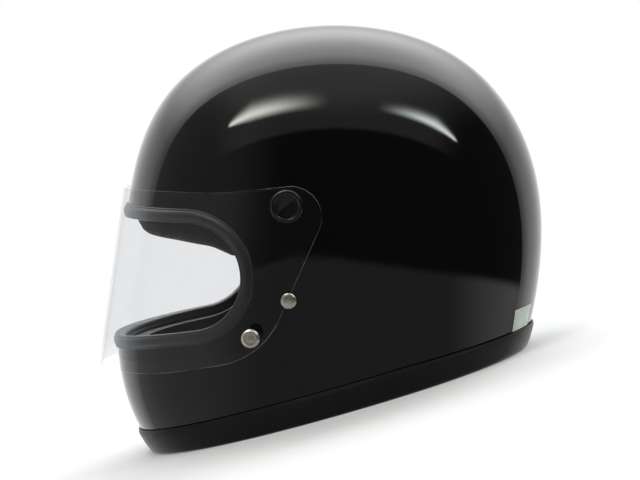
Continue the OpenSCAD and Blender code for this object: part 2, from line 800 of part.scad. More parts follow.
module rear_label() {
    columns = 6;
    rows = 3;
    lift = [touch / 3, touch / 3 + label_t];
    function spot(i, j, up) =
        let (turn_at = label_turn + (i / columns - 0.5) * 11,
             along = unit([sin(turn_at), cos(turn_at), 0]),
             z = rim_top(hit([0, shell_y, rim_height], along).y) + 1 + label_h * j / rows,
             p = hit([0, shell_y, z], along))
        p + up * outward(p);
    n = (columns + 1) * (rows + 1);
    function at(i, j) = i * (rows + 1) + j;
    edge = [for (i = [0:columns]) at(i, 0), for (j = [1:rows]) at(columns, j),
            for (i = [columns - 1:-1:0]) at(i, rows), for (j = [rows - 1:-1:1]) at(0, j)];
    color([0.72, 0.78, 0.74])
    polyhedron(
        [for (up = lift) for (i = [0:columns]) for (j = [0:rows]) spot(i, j, up)],
        [for (i = [0:columns - 1]) for (j = [0:rows - 1])
             let (a = at(i, j), b = at(i + 1, j), c = at(i + 1, j + 1), d = at(i, j + 1))
             each [[a, c, b], [a, d, c], [n + a, n + b, n + c], [n + a, n + c, n + d]],
         for (k = [0:len(edge) - 1])
             let (a = edge[k], b = edge[(k + 1) % len(edge)])
             each [[a, b, n + b], [a, n + b, n + a]]]);
}

outer_shell();
eyeport_trim();
bottom_trim();
impact_liner();
chin_bar_liner();
crown_lining();
brow_pad();
cheek_pad(1);  // cheek_pad_left
cheek_pad(-1);  // cheek_pad_right
neck_roll();
shield();
pivot_screw(1);  // pivot_screw_left
pivot_screw(-1);  // pivot_screw_right
pivot_washer(1);  // pivot_washer_left
pivot_washer(-1);  // pivot_washer_right
pivot_spacer(1);  // pivot_spacer_left
pivot_spacer(-1);  // pivot_spacer_right
pivot_nut(1);  // pivot_nut_left
pivot_nut(-1);  // pivot_nut_right
snap_cap(1);  // snap_cap_left
snap_cap(-1);  // snap_cap_right
snap_stud(1);  // snap_stud_left
snap_stud(-1);  // snap_stud_right
strap_rivet(1);  // strap_rivet_left
strap_rivet(-1);  // strap_rivet_right
strap_anchor(1);  // strap_anchor_left
strap_anchor(-1);  // strap_anchor_right
chin_strap_long();
chin_strap_short();
d_rings();
rear_label();
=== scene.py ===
import bmesh
import bpy
import numpy as np
from mathutils import Matrix, Vector


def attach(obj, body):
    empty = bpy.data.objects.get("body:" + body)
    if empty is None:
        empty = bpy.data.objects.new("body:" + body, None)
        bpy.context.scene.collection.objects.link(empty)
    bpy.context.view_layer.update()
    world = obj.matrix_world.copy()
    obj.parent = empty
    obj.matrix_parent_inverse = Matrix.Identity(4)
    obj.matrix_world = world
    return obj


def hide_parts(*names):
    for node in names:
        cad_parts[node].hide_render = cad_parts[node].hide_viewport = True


# A full-face helmet on a pale floor. Lengths are in millimetres up to mesh(),
# which turns them into metres. The face looks to -Y and the wearer's left is +X.

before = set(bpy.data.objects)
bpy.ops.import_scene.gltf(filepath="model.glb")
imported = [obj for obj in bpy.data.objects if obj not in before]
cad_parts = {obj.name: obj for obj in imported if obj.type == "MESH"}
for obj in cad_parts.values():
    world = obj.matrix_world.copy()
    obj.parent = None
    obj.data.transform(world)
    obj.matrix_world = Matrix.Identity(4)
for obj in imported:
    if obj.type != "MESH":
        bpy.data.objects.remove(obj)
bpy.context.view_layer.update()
scene = bpy.context.scene
MM = 0.001
SIDES = {"left": 1, "right": -1}
LEFT = np.array([1.0, 0, 0])

# ---------- driving dimensions, as in the part's source ----------

SHELL_LENGTH, SHELL_WIDTH, SHELL_HEIGHT = 345, 250, 281
SHELL_LEVEL = 130
SHELL_Y = 6
FULLNESS = 2.2
WALL = 4
PROFILE = np.array([173, 173, 155, 150, 154, 140, 144, 204, 228, 217, 193, 171.0])
FACE_TILT = np.radians(16)
PORT_RADIUS, PORT_FORWARD, PORT_DROP = 44, 92, 30
PORT_SLOPE = np.radians(9.5)
RIM_HEIGHT, RIM_FALL, RIM_SOLE = 20.5, 4.5, 5
SHEET_T, SHEET_IN, SHEET_NOSE = 1.5, 126.4, 145.6
SHEET_LEAN = np.radians(8.1)
SHEET_SIDES = 24
PIVOT_FORWARD, PIVOT_UP = 19.6, 22.4
PIVOT_HEAD_R, PIVOT_HEAD_T, PIVOT_SHANK_R, WASHER_T = 12, 4.2, 5, 0.8
STUD_FORWARD, STUD_DROP, CAP_R, CAP_T = 45.4, 72, 6.6, 2.6
RIVET_FORWARD, RIVET_DROP, RIVET_HEAD_R = 18.3, 45.4, 5.7
PIVOT_BORE_R, RIVET_BORE_R, STUD_BORE_R = 7.15, 2.5, 2.2
WALL_FOOT = RIM_SOLE + 0.5
STRAP_WIDTH, STRAP_T = 22, 1.5
TOUCH = 0.3
# Cutters reach past everything, and side outlines of the opening end well in front
BEYOND, FRONT = 400, 230

# ---------- the egg-shaped form ----------


def reach(angle):
    """Uniform cubic spline round the profile."""
    t = np.asarray(angle) * len(PROFILE) / (2 * np.pi)
    i = np.floor(t).astype(int)
    u = t - i
    near = [PROFILE[(i + step) % len(PROFILE)] for step in (-1, 0, 1, 2)]
    return ((1 - u) ** 3 * near[0] + (3 * u**3 - 6 * u**2 + 4) * near[1]
            + (-3 * u**3 + 3 * u**2 + 3 * u + 1) * near[2] + u**3 * near[3]) / 6


whole_turn = np.radians(np.arange(0, 360, 2))
profile_y = reach(whole_turn) * np.cos(whole_turn)
profile_z = reach(whole_turn) * np.sin(whole_turn)
STRETCH_Y = SHELL_LENGTH / (profile_y.max() - profile_y.min())
STRETCH_Z = (SHELL_HEIGHT - SHELL_LEVEL) / profile_z.max()
CENTRE = np.array([0, SHELL_Y, SHELL_LEVEL], float)


def level(p):
    """1 on the form, less inside it and more outside it."""
    y = (p[..., 1] - SHELL_Y) / STRETCH_Y
    z = (p[..., 2] - SHELL_LEVEL) / STRETCH_Z
    round_part = (np.hypot(y, z) / reach(np.arctan2(z, y))) ** FULLNESS
    return round_part + np.abs(p[..., 0] / (SHELL_WIDTH / 2)) ** FULLNESS


def unit(v):
    return v / np.linalg.norm(v, axis=-1, keepdims=True)


def outward(p):
    steps = np.eye(3) * 0.05
    return unit(np.stack([level(p + s) - level(p - s) for s in steps], axis=-1))


def on_form(direction, inset):
    """Point of the form, or of a layer inside it, along a direction from its centre."""
    d = unit(np.asarray(direction, float))
    p = CENTRE + d * level(CENTRE + d)[..., None] ** (-1 / FULLNESS)
    lean = (outward(p) * d).sum(-1, keepdims=True)
    return p - d * inset / lean


def hit(start, along, near=5, far=300):
    """Where a ray from inside meets the form."""
    start, along = np.broadcast_arrays(np.asarray(start, float), unit(np.asarray(along, float)))
    low = np.full(start.shape[:-1], float(near))
    high = np.full(start.shape[:-1], float(far))
    for _ in range(40):
        mid = (low + high) / 2
        outside = level(start + mid[..., None] * along) > 1
        high = np.where(outside, mid, high)
        low = np.where(outside, low, mid)
    return start + low[..., None] * along


def half_width(y, z):
    """Distance across from the middle plane to the form."""
    start = np.stack([np.zeros_like(y), y, z], axis=-1)
    return hit(start, LEFT, 0, SHELL_WIDTH)[..., 0]


def worn(x, forward, up):
    """A place given as the helmet is worn: across, forward and up from the widest level."""
    x, forward, up = np.broadcast_arrays(x, forward, up)
    c, s = np.cos(FACE_TILT), np.sin(FACE_TILT)
    return np.stack([x + 0.0, SHELL_Y - forward * c + up * s,
                     SHELL_LEVEL + forward * s + up * c], axis=-1)


# ---------- mesh helpers ----------


def into_scene(name, data):
    obj = bpy.data.objects.new(name, data)
    scene.collection.objects.link(obj)
    return obj


def mesh(name, points, faces, sharp):
    """New object from points in millimetres, shaded smooth with its sharp edges kept."""
    data = bpy.data.meshes.new(name)
    data.from_pydata((np.asarray(points) * MM).tolist(), [], [tuple(map(int, f)) for f in faces])
    obj = into_scene(name, data)
    tidy(obj, sharp)
    return obj


def tidy(obj, sharp):
    """Turns the faces outward and shades them smooth, with edges over sharp degrees kept."""
    work = bmesh.new()
    work.from_mesh(obj.data)
    bmesh.ops.recalc_face_normals(work, faces=work.faces)
    work.to_mesh(obj.data)
    work.free()
    obj.data.shade_smooth()
    if sharp:
        obj.data.set_sharp_from_angle(angle=np.radians(sharp))


def bake(obj):
    """Replaces the mesh by the result of the object's modifiers."""
    graph = bpy.context.evaluated_depsgraph_get()
    result = bpy.data.meshes.new_from_object(obj.evaluated_get(graph))
    obj.modifiers.clear()
    old = obj.data
    obj.data = result
    bpy.data.meshes.remove(old)


def carve(obj, *cutters, sharp, keep=()):
    """Cuts the cutters away from obj, keeps only what lies in each of keep, and deletes them."""
    for other, how in [(c, "DIFFERENCE") for c in cutters] + [(k, "INTERSECT") for k in keep]:
        cut = obj.modifiers.new("cut", "BOOLEAN")
        cut.operation = how
        cut.solver = "MANIFOLD"
        cut.object = other
        bake(obj)
        bpy.data.objects.remove(other)
    tidy(obj, sharp)
    return obj


def bevel(obj, width, segments=2, sharp=40, material=-1):
    """Rounds the edges sharper than 50 degrees; material is the slot of the new faces."""
    b = obj.modifiers.new("edges", "BEVEL")
    b.width = width * MM
    b.segments = segments
    b.limit_method = "ANGLE"
    b.angle_limit = np.radians(50)
    b.harden_normals = False
    b.material = material
    bake(obj)
    tidy(obj, sharp)


def place(obj, body, material, node):
    """Gives a piece its body, its material and the CAD node that it replaces."""
    obj.data.materials.clear()
    obj.data.materials.append(material)
    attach(obj, body)
    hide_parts(node)


def softened(outline):
    """Closed outline with its corners cut twice, which rounds them."""
    p = np.asarray(outline, float)
    for _ in range(2):
        q = np.roll(p, -1, axis=0)
        p = np.stack([0.75 * p + 0.25 * q, 0.25 * p + 0.75 * q], axis=1).reshape(-1, p.shape[1])
    return p


def ring(name, rows, sharp=40):
    """Closed ring from an array of stations by section points."""
    n, m = rows.shape[:2]
    i, j = np.meshgrid(np.arange(n), np.arange(m), indexing="ij")
    a, b = i * m + j, i * m + (j + 1) % m
    c, d = (i + 1) % n * m + (j + 1) % m, (i + 1) % n * m + j
    return mesh(name, rows.reshape(-1, 3), np.stack([a, d, c, b], -1).reshape(-1, 4), sharp)


def tube(name, rows):
    """Tube from an array of stations by section points, with a cap at each end."""
    n, m = rows.shape[:2]
    i, j = np.meshgrid(np.arange(n - 1), np.arange(m), indexing="ij")
    sides = np.stack([i * m + j, (i + 1) * m + j, (i + 1) * m + (j + 1) % m, i * m + (j + 1) % m], -1)
    caps = [list(range(m)), list(range((n - 1) * m, n * m))]
    return mesh(name, rows.reshape(-1, 3), list(sides.reshape(-1, 4)) + caps, 60)


def run_of(path):
    """Length along a path up to each of its points."""
    return np.concatenate([[0], np.cumsum(np.linalg.norm(np.diff(path, axis=0), axis=1))])


def evenly(path, count, closed=True):
    """The path at even steps along its length."""
    p = np.vstack([path, path[:1]]) if closed else np.asarray(path, float)
    along = run_of(p)
    at = np.linspace(0, along[-1], count + closed)[:count]
    return np.stack([np.interp(at, along, p[:, k]) for k in range(p.shape[1])], axis=-1)


def plate(name, under, over):
    """Closed sheet between two grids of points, and how many of its faces are not its edge."""
    n, m = under.shape[:2]
    i, j = np.meshgrid(np.arange(n - 1), np.arange(m - 1), indexing="ij")
    quad = np.stack([i * m + j, (i + 1) * m + j, (i + 1) * m + j + 1, i * m + j + 1], -1).reshape(-1, 4)
    rim = [i * m for i in range(n)] + [(n - 1) * m + j for j in range(1, m)]
    rim += [i * m + m - 1 for i in range(n - 2, -1, -1)] + list(range(m - 2, 0, -1))
    wall = [(a, b, b + n * m, a + n * m) for a, b in zip(rim, rim[1:] + rim[:1])]
    sheet = mesh(name, np.vstack([under.reshape(-1, 3), over.reshape(-1, 3)]),
                 [*quad[:, ::-1], *(quad + n * m), *wall], 50)
    return sheet, 2 * len(quad)


def prism(name, outline, to_place, across=(-300, 300)):
    """Solid from a side outline, run straight across the helmet."""
    outline = np.asarray(outline, float)
    n = len(outline)
    ends = [to_place(x, outline[:, 0], outline[:, 1]) for x in across]
    sides = [(k, (k + 1) % n, n + (k + 1) % n, n + k) for k in range(n)]
    return mesh(name, np.vstack(ends), sides + [list(range(n))[::-1], list(range(n, 2 * n))], 0)


def side_place(x, y, z):
    return np.stack(np.broadcast_arrays(x + 0.0, y, z), axis=-1)


def box(y0, y1, z0, z1, across=(-300, 300)):
    return prism("box", [[y0, z0], [y1, z0], [y1, z1], [y0, z1]], side_place, across)


def lathe(name, profile, origin, axis, steps=96):
    """Turned solid from a closed profile of [radius, height] on an axis."""
    profile = np.asarray(profile, float)
    axis = unit(np.asarray(axis, float))
    u = unit(np.cross(axis, [0.0, 0.3, 1.0]))
    v = np.cross(axis, u)
    turn = np.linspace(0, 2 * np.pi, steps, endpoint=False)
    rim = np.cos(turn)[:, None] * u + np.sin(turn)[:, None] * v
    r = np.maximum(profile[:, 0], 1e-4)
    rows = origin + r[None, :, None] * rim[:, None, :] + profile[None, :, 1, None] * axis
    obj = ring(name, rows, 0)
    work = bmesh.new()
    work.from_mesh(obj.data)
    bmesh.ops.remove_doubles(work, verts=work.verts, dist=1e-6)
    bmesh.ops.dissolve_degenerate(work, edges=work.edges, dist=1e-7)
    work.to_mesh(obj.data)
    work.free()
    tidy(obj, 30)
    return obj


def closed_form(name, inset, fineness):
    """The whole closed form, inset, as an even mesh of quads."""
    s = np.tan(np.linspace(-1, 1, fineness + 1) * np.pi / 4)
    a, b = np.meshgrid(s, s, indexing="ij")
    one = np.ones_like(a)
    sides = [(one, a, b), (-one, b, a), (b, one, a), (a, -one, b), (a, b, one), (b, a, -one)]
    grid = np.stack([np.stack(side, -1) for side in sides])
    index = np.arange(grid[..., 0].size).reshape(grid.shape[:3])
    quads = np.stack([index[:, :-1, :-1], index[:, 1:, :-1], index[:, 1:, 1:],
                      index[:, :-1, 1:]], -1).reshape(-1, 4)
    flat = grid.reshape(-1, 3)
    first, back = np.unique(np.round(flat, 6), axis=0, return_index=True, return_inverse=True)[1:]
    proportions = np.array([SHELL_WIDTH, SHELL_LENGTH, SHELL_HEIGHT])
    points = on_form(unit(flat[first]) * proportions, inset)
    return mesh(name, points, back.reshape(-1)[quads], 0)


def layer(name, outer, inner, keep=(), away=(), fineness=(48, 40), sharp=40):
    """What lies between two insets of the form, inside keep and outside away."""
    obj = closed_form(name, outer, fineness[0])
    return carve(obj, closed_form("inside", inner, fineness[1]), *away, keep=keep, sharp=sharp)


# ---------- materials ----------


class Nodes:
    """A node tree under construction: short calls for its nodes."""

    def __init__(self, tree):
        self.tree = tree

    def node(self, kind, **values):
        """New node; each value goes to the setting of its name or else to that socket."""
        n = self.tree.nodes.new(kind)
        for key, value in values.items():
            if hasattr(n, key):
                setattr(n, key, value)
            else:
                self.set(n.inputs[key.replace("_", " ")], value)
        return n

    def set(self, socket, value):
        """Links a node's output to a socket, or gives the socket a plain value."""
        if isinstance(value, bpy.types.NodeSocket):
            self.tree.links.new(value, socket)
        else:
            socket.default_value = value

    def fill(self, kind, *values, **settings):
        """First output of a new node whose sockets take the values in their order."""
        n = self.node(kind, **settings)
        for socket, value in zip(n.inputs, values):
            self.set(socket, value)
        return n.outputs[0]

    def math(self, how, *values):
        return self.fill("ShaderNodeMath", *values, operation=how)

    def times(self, first, *others):
        for value in others:
            first = self.math("MULTIPLY", first, value)
        return first

    def plus(self, first, *others):
        for value in others:
            first = self.math("ADD", first, value)
        return first

    def step(self, value, low, high, a=0.0, b=1.0):
        """Goes smoothly from a to b while the value goes from low to high."""
        return self.fill("ShaderNodeMapRange", value, low, high, a, b, interpolation_type="SMOOTHSTEP")


class Paint(Nodes):
    """A procedural material."""

    def __init__(self, name):
        self.material = bpy.data.materials.new(name)
        self.material.use_nodes = True
        super().__init__(self.material.node_tree)
        self.shader = self.tree.nodes["Principled BSDF"]
        self.place = self.node("ShaderNodeTexCoord").outputs["Object"]

    def look(self, **values):
        """Sets the shader's own sockets."""
        for key, value in values.items():
            self.set(self.shader.inputs[key.replace("_", " ")], value)

    def noise(self, size, detail):
        """Noise whose features are about size millimetres wide."""
        return self.node("ShaderNodeTexNoise", Vector=self.place, Scale=1000 / size,
                         Detail=detail).outputs["Fac"]

    def cells(self, size):
        """Distance to the nearest cell's middle, of cells about size millimetres wide."""
        return self.node("ShaderNodeTexVoronoi", Vector=self.place,
                         Scale=1000 / size).outputs["Distance"]

    def ramp(self, value, *stops):
        """Colours or numbers over a value; each stop is (position, colour or number)."""
        n = self.node("ShaderNodeValToRGB", Fac=value)
        line = n.color_ramp.elements
        while len(line) < len(stops):
            line.new(0.5)
        for e, (position, colour) in zip(line, stops):
            e.position = position
            e.color = (*colour, 1) if isinstance(colour, tuple) else (colour, colour, colour, 1)
        return n.outputs["Color"]

    def bump(self, height, depth, under=None):
        """Bump of a height map from 0 to 1 that is depth millimetres deep."""
        n = self.node("ShaderNodeBump", Height=height, Distance=depth * MM, Strength=1.0)
        if under:
            self.set(n.inputs["Normal"], under)
        return n.outputs["Normal"]

    def blend(self, amount, first, second):
        """Ends the material on a mix of two shaders."""
        mixed = self.fill("ShaderNodeMixShader", amount, first.outputs[0], second.outputs[0])
        self.set(self.tree.nodes["Material Output"].inputs[0], mixed)


def shade(colour, share):
    return tuple(min(1, c * share) for c in colour)


def gloss_paint(name, colour):
    m = Paint(name)
    m.look(Base_Color=m.ramp(m.noise(0.6, 1), (0.35, shade(colour, 0.85)), (0.65, colour)),
           Roughness=m.ramp(m.noise(45, 2), (0.35, 0.03), (0.75, 0.057)), IOR=1.37,
           Normal=m.bump(m.noise(3.5, 1), 0.0035))
    return m.material


def moulded(name, colour, rough, grain=0.5, depth=0.03, ior=1.45, sheen=0.0):
    """Rubber or moulded plastic with a fine grain and slight handling marks."""
    m = Paint(name)
    wear = m.noise(22, 4)
    pale = tuple(c * 1.35 + 0.0005 for c in colour)
    m.look(Base_Color=m.ramp(wear, (0.3, colour), (0.8, pale)),
           Roughness=m.ramp(m.noise(7, 3), (0.3, rough - 0.04), (0.75, rough + 0.05)), IOR=ior,
           Sheen_Weight=sheen, Sheen_Roughness=0.45, Sheen_Tint=(0.86, 0.92, 1, 1),
           Normal=m.bump(m.noise(grain, 2), depth))
    return m.material


def metal(name, colour, rough):
    m = Paint(name)
    m.look(Base_Color=m.ramp(m.noise(2.5, 4), (0.35, shade(colour, 0.8)), (0.6, colour)), Metallic=1.0,
           Roughness=m.ramp(m.noise(1.2, 3), (0.3, rough * 0.8), (0.7, rough * 1.35)),
           Normal=m.bump(m.noise(0.35, 2), 0.02))
    return m.material


def bead_foam(name, colour):
    """Expanded foam: packed beads, painted lighter in their middles and darker at the seams between
    them, which is painted shade following the bump.
    """
    m = Paint(name)
    beads = m.cells(3.2)
    # Painted shade: the tone follows the bead bump, dark in the dips and light on the domes
    tone = m.ramp(beads, (0.1, shade(colour, 1.7)), (0.55, colour), (0.8, shade(colour, 0.45)))
    m.look(Base_Color=tone, Roughness=0.82,
           Normal=m.bump(m.ramp(beads, (0.0, 1.0), (0.8, 0.0)), 0.5))
    return m.material


def fabric(name, colour, thread, depth, fleck_and_lit_tops=1.8):
    """Knitted or woven cloth: two crossed threads, broken up by fibre and wear, with painted shade in
    the thread dips and a painted lighter tone on raised threads.
    """
    m = Paint(name)
    waves = [m.node("ShaderNodeTexWave", Vector=m.place, Scale=1000 / thread / (2 * np.pi),
                    Distortion=1.2, Detail=2, Detail_Scale=2.0, bands_direction=axis).outputs["Fac"]
             for axis in ("DIAGONAL", "Z")]
    height = m.plus(m.times(*waves, 0.6), m.times(m.noise(thread * 0.7, 4), 0.7))
    patch = m.noise(14, 3)
    # Partly painted shade: darker where the weave bump dips and lighter where it rises; the broad patch
    # is random wear
    tone = m.ramp(m.plus(m.times(height, 0.55), m.times(patch, 0.45)),
                  (0.2, shade(colour, 0.55)), (0.5, colour), (0.8, shade(colour, fleck_and_lit_tops)))
    m.look(Base_Color=tone, Roughness=0.9, Sheen_Weight=0.25, Sheen_Roughness=0.5,
           Normal=m.bump(height, depth, m.bump(patch, 0.5)))
    return m.material


def webbing(name, colour):
    """Flat woven webbing, in the strap's own lengthwise and crosswise measures, in metres."""
    m = Paint(name)
    rib_pitch, pick_pitch = 0.0016, 0.0022
    uv = m.node("ShaderNodeSeparateXYZ", Vector=m.node("ShaderNodeTexCoord").outputs["UV"])
    along, across = uv.outputs[0], uv.outputs[1]
    rib = m.math("SINE", m.times(across, 2 * np.pi / rib_pitch))
    chevron = m.plus(along, m.math("ABSOLUTE", across))
    pick = m.math("SINE", m.times(chevron, 2 * np.pi / pick_pitch))
    height = m.plus(m.times(rib, pick, 0.35), 0.5, m.times(m.noise(0.5, 3), 0.3))
    # Painted shade: the colour follows the weave bump, darker in its dips and lighter on its raised
    # threads
    m.look(Base_Color=m.ramp(height, (0.2, shade(colour, 0.5)), (0.9, shade(colour, 1.9))),
           Roughness=0.75, Sheen_Weight=0.3, Normal=m.bump(height, 0.22))
    return m.material


def clear_sheet(name):
    """Clear plastic: straight through with a slight tint, and a mirror gloss that grows at a slant."""
    m = Paint(name)
    slant = m.node("ShaderNodeLayerWeight", Blend=0.5).outputs["Facing"]
    tint = m.ramp(slant, (0.3, (0.951, 0.953, 0.956)), (0.78, (0.93, 0.933, 0.937)),
                  (0.95, (0.89, 0.895, 0.902)))
    mirrored = m.math("MULTIPLY_ADD", m.math("POWER", slant, 5), 0.06, 0.015)
    m.look(Base_Color=(0.95, 0.96, 0.96, 1), Metallic=1.0,
           Roughness=m.ramp(m.noise(30, 3), (0.3, 0.03), (0.8, 0.07)))
    m.blend(mirrored, m.node("ShaderNodeBsdfTransparent", Color=tint), m.shader)
    return m.material


def glowing_clear_edge(name):
    """The sheet's sawn edge: pale, and glowing by emission, a painted glow that stands in for the light
    the edge gathers.
    """
    m = Paint(name)
    pale = m.ramp(m.noise(3, 3), (0.3, (0.36, 0.38, 0.39)), (0.7, (0.42, 0.44, 0.45)))
    # Painted light: the emission makes the edge glow though it is no lamp
    m.look(Base_Color=pale, Roughness=0.35, Emission_Color=pale, Emission_Strength=0.85,
           Normal=m.bump(m.noise(0.8, 2), 0.02))
    return m.material


def foil(name):
    """Blank retro-reflective foil: pale silver-green with a fine bead glitter."""
    m = Paint(name)
    glitter = m.cells(0.35)
    m.look(Base_Color=m.ramp(m.noise(9, 3), (0.3, (0.45, 0.52, 0.47)), (0.7, (0.56, 0.62, 0.57))),
           Metallic=0.35, Roughness=m.ramp(glitter, (0.1, 0.3), (0.6, 0.5)),
           Normal=m.bump(glitter, 0.02))
    return m.material


SHELL_PAINT = gloss_paint("gloss_black_paint", (0.0012, 0.0012, 0.0013))
TRIM_RUBBER = moulded("charcoal_rubber", (0.0095, 0.0096, 0.0102), 0.38, 0.4, 0.01, 1.45, 0.32)
RIM_RUBBER = moulded("black_rim_rubber", (0.009, 0.009, 0.0095), 0.38, 0.4, 0.005, 1.2)
SEAL_RUBBER = moulded("soft_black_rubber", (0.012, 0.012, 0.012), 0.6)
SCREW_PLASTIC = moulded("black_moulded_plastic", (0.002, 0.002, 0.0022), 0.26, 0.5, 0.004, 1.42)
CHIN_SKIN = moulded("chin_foam_skin", (0.026, 0.026, 0.027), 0.62, 1.2, 0.05)
BEAD_FOAM = bead_foam("black_bead_foam", (0.022, 0.022, 0.023))
LINING = fabric("brushed_lining", (0.03, 0.03, 0.032), 1.3, 0.16)
BROW_FABRIC = fabric("brow_fabric", (0.026, 0.021, 0.018), 1.5, 0.25, 1.7)
WEBBING = webbing("black_webbing", (0.022, 0.022, 0.023))
NICKEL = metal("warm_nickel", (0.62, 0.585, 0.49), 0.28)
DARK_STEEL = metal("zinc_plated_steel", (0.42, 0.42, 0.4), 0.38)
RING_STEEL = metal("polished_ring_steel", (0.6, 0.59, 0.56), 0.2)
CLEAR = clear_sheet("clear_sheet")
GLOWING_CLEAR_EDGE = glowing_clear_edge("clear_sheet_edge_glow")
FOIL = foil("blank_foil")

# ---------- shell ----------


def port_outline(grow):
    """Side outline of the opening, grown evenly, as [forward, up]."""
    r = PORT_RADIUS + grow
    a = np.radians(np.linspace(90, 270, 61)) - np.linspace(0, PORT_SLOPE, 61)
    end = np.stack([PORT_FORWARD + r * np.cos(a), -PORT_DROP + r * np.sin(a)], -1)
    fall = (FRONT - PORT_FORWARD + r * np.sin(PORT_SLOPE)) * np.tan(PORT_SLOPE)
    return np.vstack([[FRONT, -PORT_DROP + r], end,
                      [FRONT, -PORT_DROP - r * np.cos(PORT_SLOPE) - fall]])


def port_cutter(grow):
    return prism("port", port_outline(grow), worn)


pivot_at = worn(SHEET_IN, PIVOT_FORWARD, PIVOT_UP)
rivet_spot = worn(0.0, RIVET_FORWARD, -RIVET_DROP)
rivet_x = float(half_width(rivet_spot[1], rivet_spot[2]))
rivet_at = np.array([rivet_x, rivet_spot[1], rivet_spot[2]])


def into_sheet(forward, up):
    """A place in the side view, turned into the sheet's leaning frame."""
    s, k = np.sin(SHEET_LEAN), np.cos(SHEET_LEAN)
    return forward * k + up * s, up * k - forward * s


def on_sheet(x, c, g):
    """A place given in the sheet's leaning frame: forward c and up g, square to its front."""
    s, k = np.sin(SHEET_LEAN), np.cos(SHEET_LEAN)
    return worn(x, c * k - g * s, c * s + g * k)


def sheet_x(c):
    """Half-width of the sheet's face at a distance forward."""
    share = np.clip((c - SHEET_SIDES) / (SHEET_NOSE - SHEET_SIDES), 0, 1)
    return SHEET_IN * (1 - share**FULLNESS) ** (1 / FULLNESS)


stud_c, stud_g = into_sheet(STUD_FORWARD, -STUD_DROP)
stud_at = on_sheet(sheet_x(stud_c), stud_c, stud_g)
stud_axis = unit(np.cross(on_sheet(sheet_x(stud_c - 2), stud_c - 2, stud_g)
                          - on_sheet(sheet_x(stud_c + 2), stud_c + 2, stud_g),
                          on_sheet(0.0, 0, 1) - on_sheet(0.0, 0, 0)))


def mirrored(v, side):
    return np.asarray(v) * np.array([side, 1, 1])


def bore(radius, at, axis, side, low=-20, high=20):
    return lathe("bore", [[0, low], [radius, low], [radius, high], [0, high]],
                 mirrored(at, side), mirrored(axis, side), 48)


def outer_shell():
    bores = [bore(r, at, axis, side) for side in SIDES.values() for r, at, axis in
             ((PIVOT_BORE_R, pivot_at, LEFT), (RIVET_BORE_R, rivet_at, LEFT),
              (STUD_BORE_R, stud_at, stud_axis))]
    under = box(-BEYOND, BEYOND, -BEYOND, WALL_FOOT)
    shell = layer("outer_shell_gloss", 0, WALL, away=[port_cutter(1.2), under, *bores],
                  fineness=(112, 56))
    place(shell, "helmet", SHELL_PAINT, "outer_shell")


# ---------- rubber trims ----------


def arm(start, slope):
    """The opening's edge on the form, from the middle of the face round to the left side."""
    turn = np.linspace(0, np.pi / 2, 160)
    along = np.stack([100 * np.sin(turn), -55 * np.cos(turn) * np.cos(FACE_TILT + slope),
                      55 * np.cos(turn) * np.sin(FACE_TILT + slope)], -1)
    return hit(worn(0.0, *start), along)


def port_edge():
    """The opening's edge on the form, all round, at even steps."""
    low = (PORT_FORWARD - PORT_RADIUS * np.sin(PORT_SLOPE),
           -PORT_DROP - PORT_RADIUS * np.cos(PORT_SLOPE))
    a = np.linspace(np.pi / 2, 3 * np.pi / 2 - PORT_SLOPE, 120)[1:-1]
    end = worn(0.0, PORT_FORWARD + PORT_RADIUS * np.cos(a), -PORT_DROP + PORT_RADIUS * np.sin(a))
    end[:, 0] = half_width(end[:, 1], end[:, 2])
    half = np.vstack([arm((PORT_FORWARD, PORT_RADIUS - PORT_DROP), 0), end,
                      arm(low, -PORT_SLOPE)[::-1]])
    other = half[-2:0:-1] * np.array([-1, 1, 1])
    return evenly(np.vstack([half, other]), 420)


# Section of the eyeport trim as [away from the opening, outward]: a lip, a groove
# and a crowned face between two edges, then the channel round the shell's edge
PORT_SECTION = [
    [5, 0.06], [5.08, 0.7], [4.85, 1.3], [4.35, 1.55], [3.9, 1.38], [3.55, 1.4], [3.1, 1.8],
    [2.2, 2.35], [1.1, 2.68], [0, 2.78], [-1.2, 2.68], [-2.3, 2.4], [-3.2, 1.95], [-3.6, 1.62],
    [-3.95, 1.62], [-4.35, 1.7], [-4.75, 1.4], [-5, 0.8], [-5.05, -0.2], [-5, -1.6], [-4.7, -3.8],
    [-4, -5.2], [-3, -5.9], [-1.6, -6.2], [-0.6, -6.25], [0.3, -6.6], [1.2, -7], [1.9, -6.9],
    [2.35, -6.3], [2.35, -5.2], [2, -4.6], [0.4, -4.55], [0.1, -4.3], [0.1, -0.3], [0.4, 0.06]]


def eyeport_trim():
    edge = port_edge()
    out = outward(edge)
    t = unit(np.roll(edge, -1, axis=0) - np.roll(edge, 1, axis=0))
    away = unit(np.cross(out, t))
    s = softened(PORT_SECTION)
    rows = edge[:, None] + s[None, :, :1] * away[:, None] + s[None, :, 1:] * out[:, None]
    place(ring("eyeport_rubber", rows), "helmet", TRIM_RUBBER, "eyeport_trim")


def rim_top(y):
    """Height of the bottom trim, which falls towards the nape."""
    level_until = 40
    run = SHELL_Y + SHELL_LENGTH / 2 - level_until
    return RIM_HEIGHT - RIM_FALL * np.maximum(0, y - level_until) / run


# Section of the bottom trim as [horizontal offset, height, share of the shell's wall to add inward]
RIM_SECTION = [
    [0.06, 20.3, 0], [0.5, 20.5, 0], [1.2, 20.5, 0], [1.7, 20.1, 0], [1.85, 19.5, 0],
    [1.9, 19.1, 0], [2.3, 18.7, 0], [2.7, 17.9, 0], [2.85, 15.5, 0], [3, 10.25, 0], [2.95, 5, 0],
    [2.75, 2.2, 0], [2.3, 1, 0], [1.5, 0.25, 0], [0.6, 0, 0], [-2, 0, 1], [-2.8, 0.5, 1],
    [-3.1, 2, 1], [-3.25, 10, 1], [-3.3, 17.2, 1], [-2.9, 18.3, 1], [-2.1, 18.7, 1],
    [-1.3, 18.3, 1], [-1.15, 17, 1], [-1.15, 5.4, 1], [-0.9, 5.1, 1], [-0.1, 5.1, 0], [0.06, 5.5, 0]]


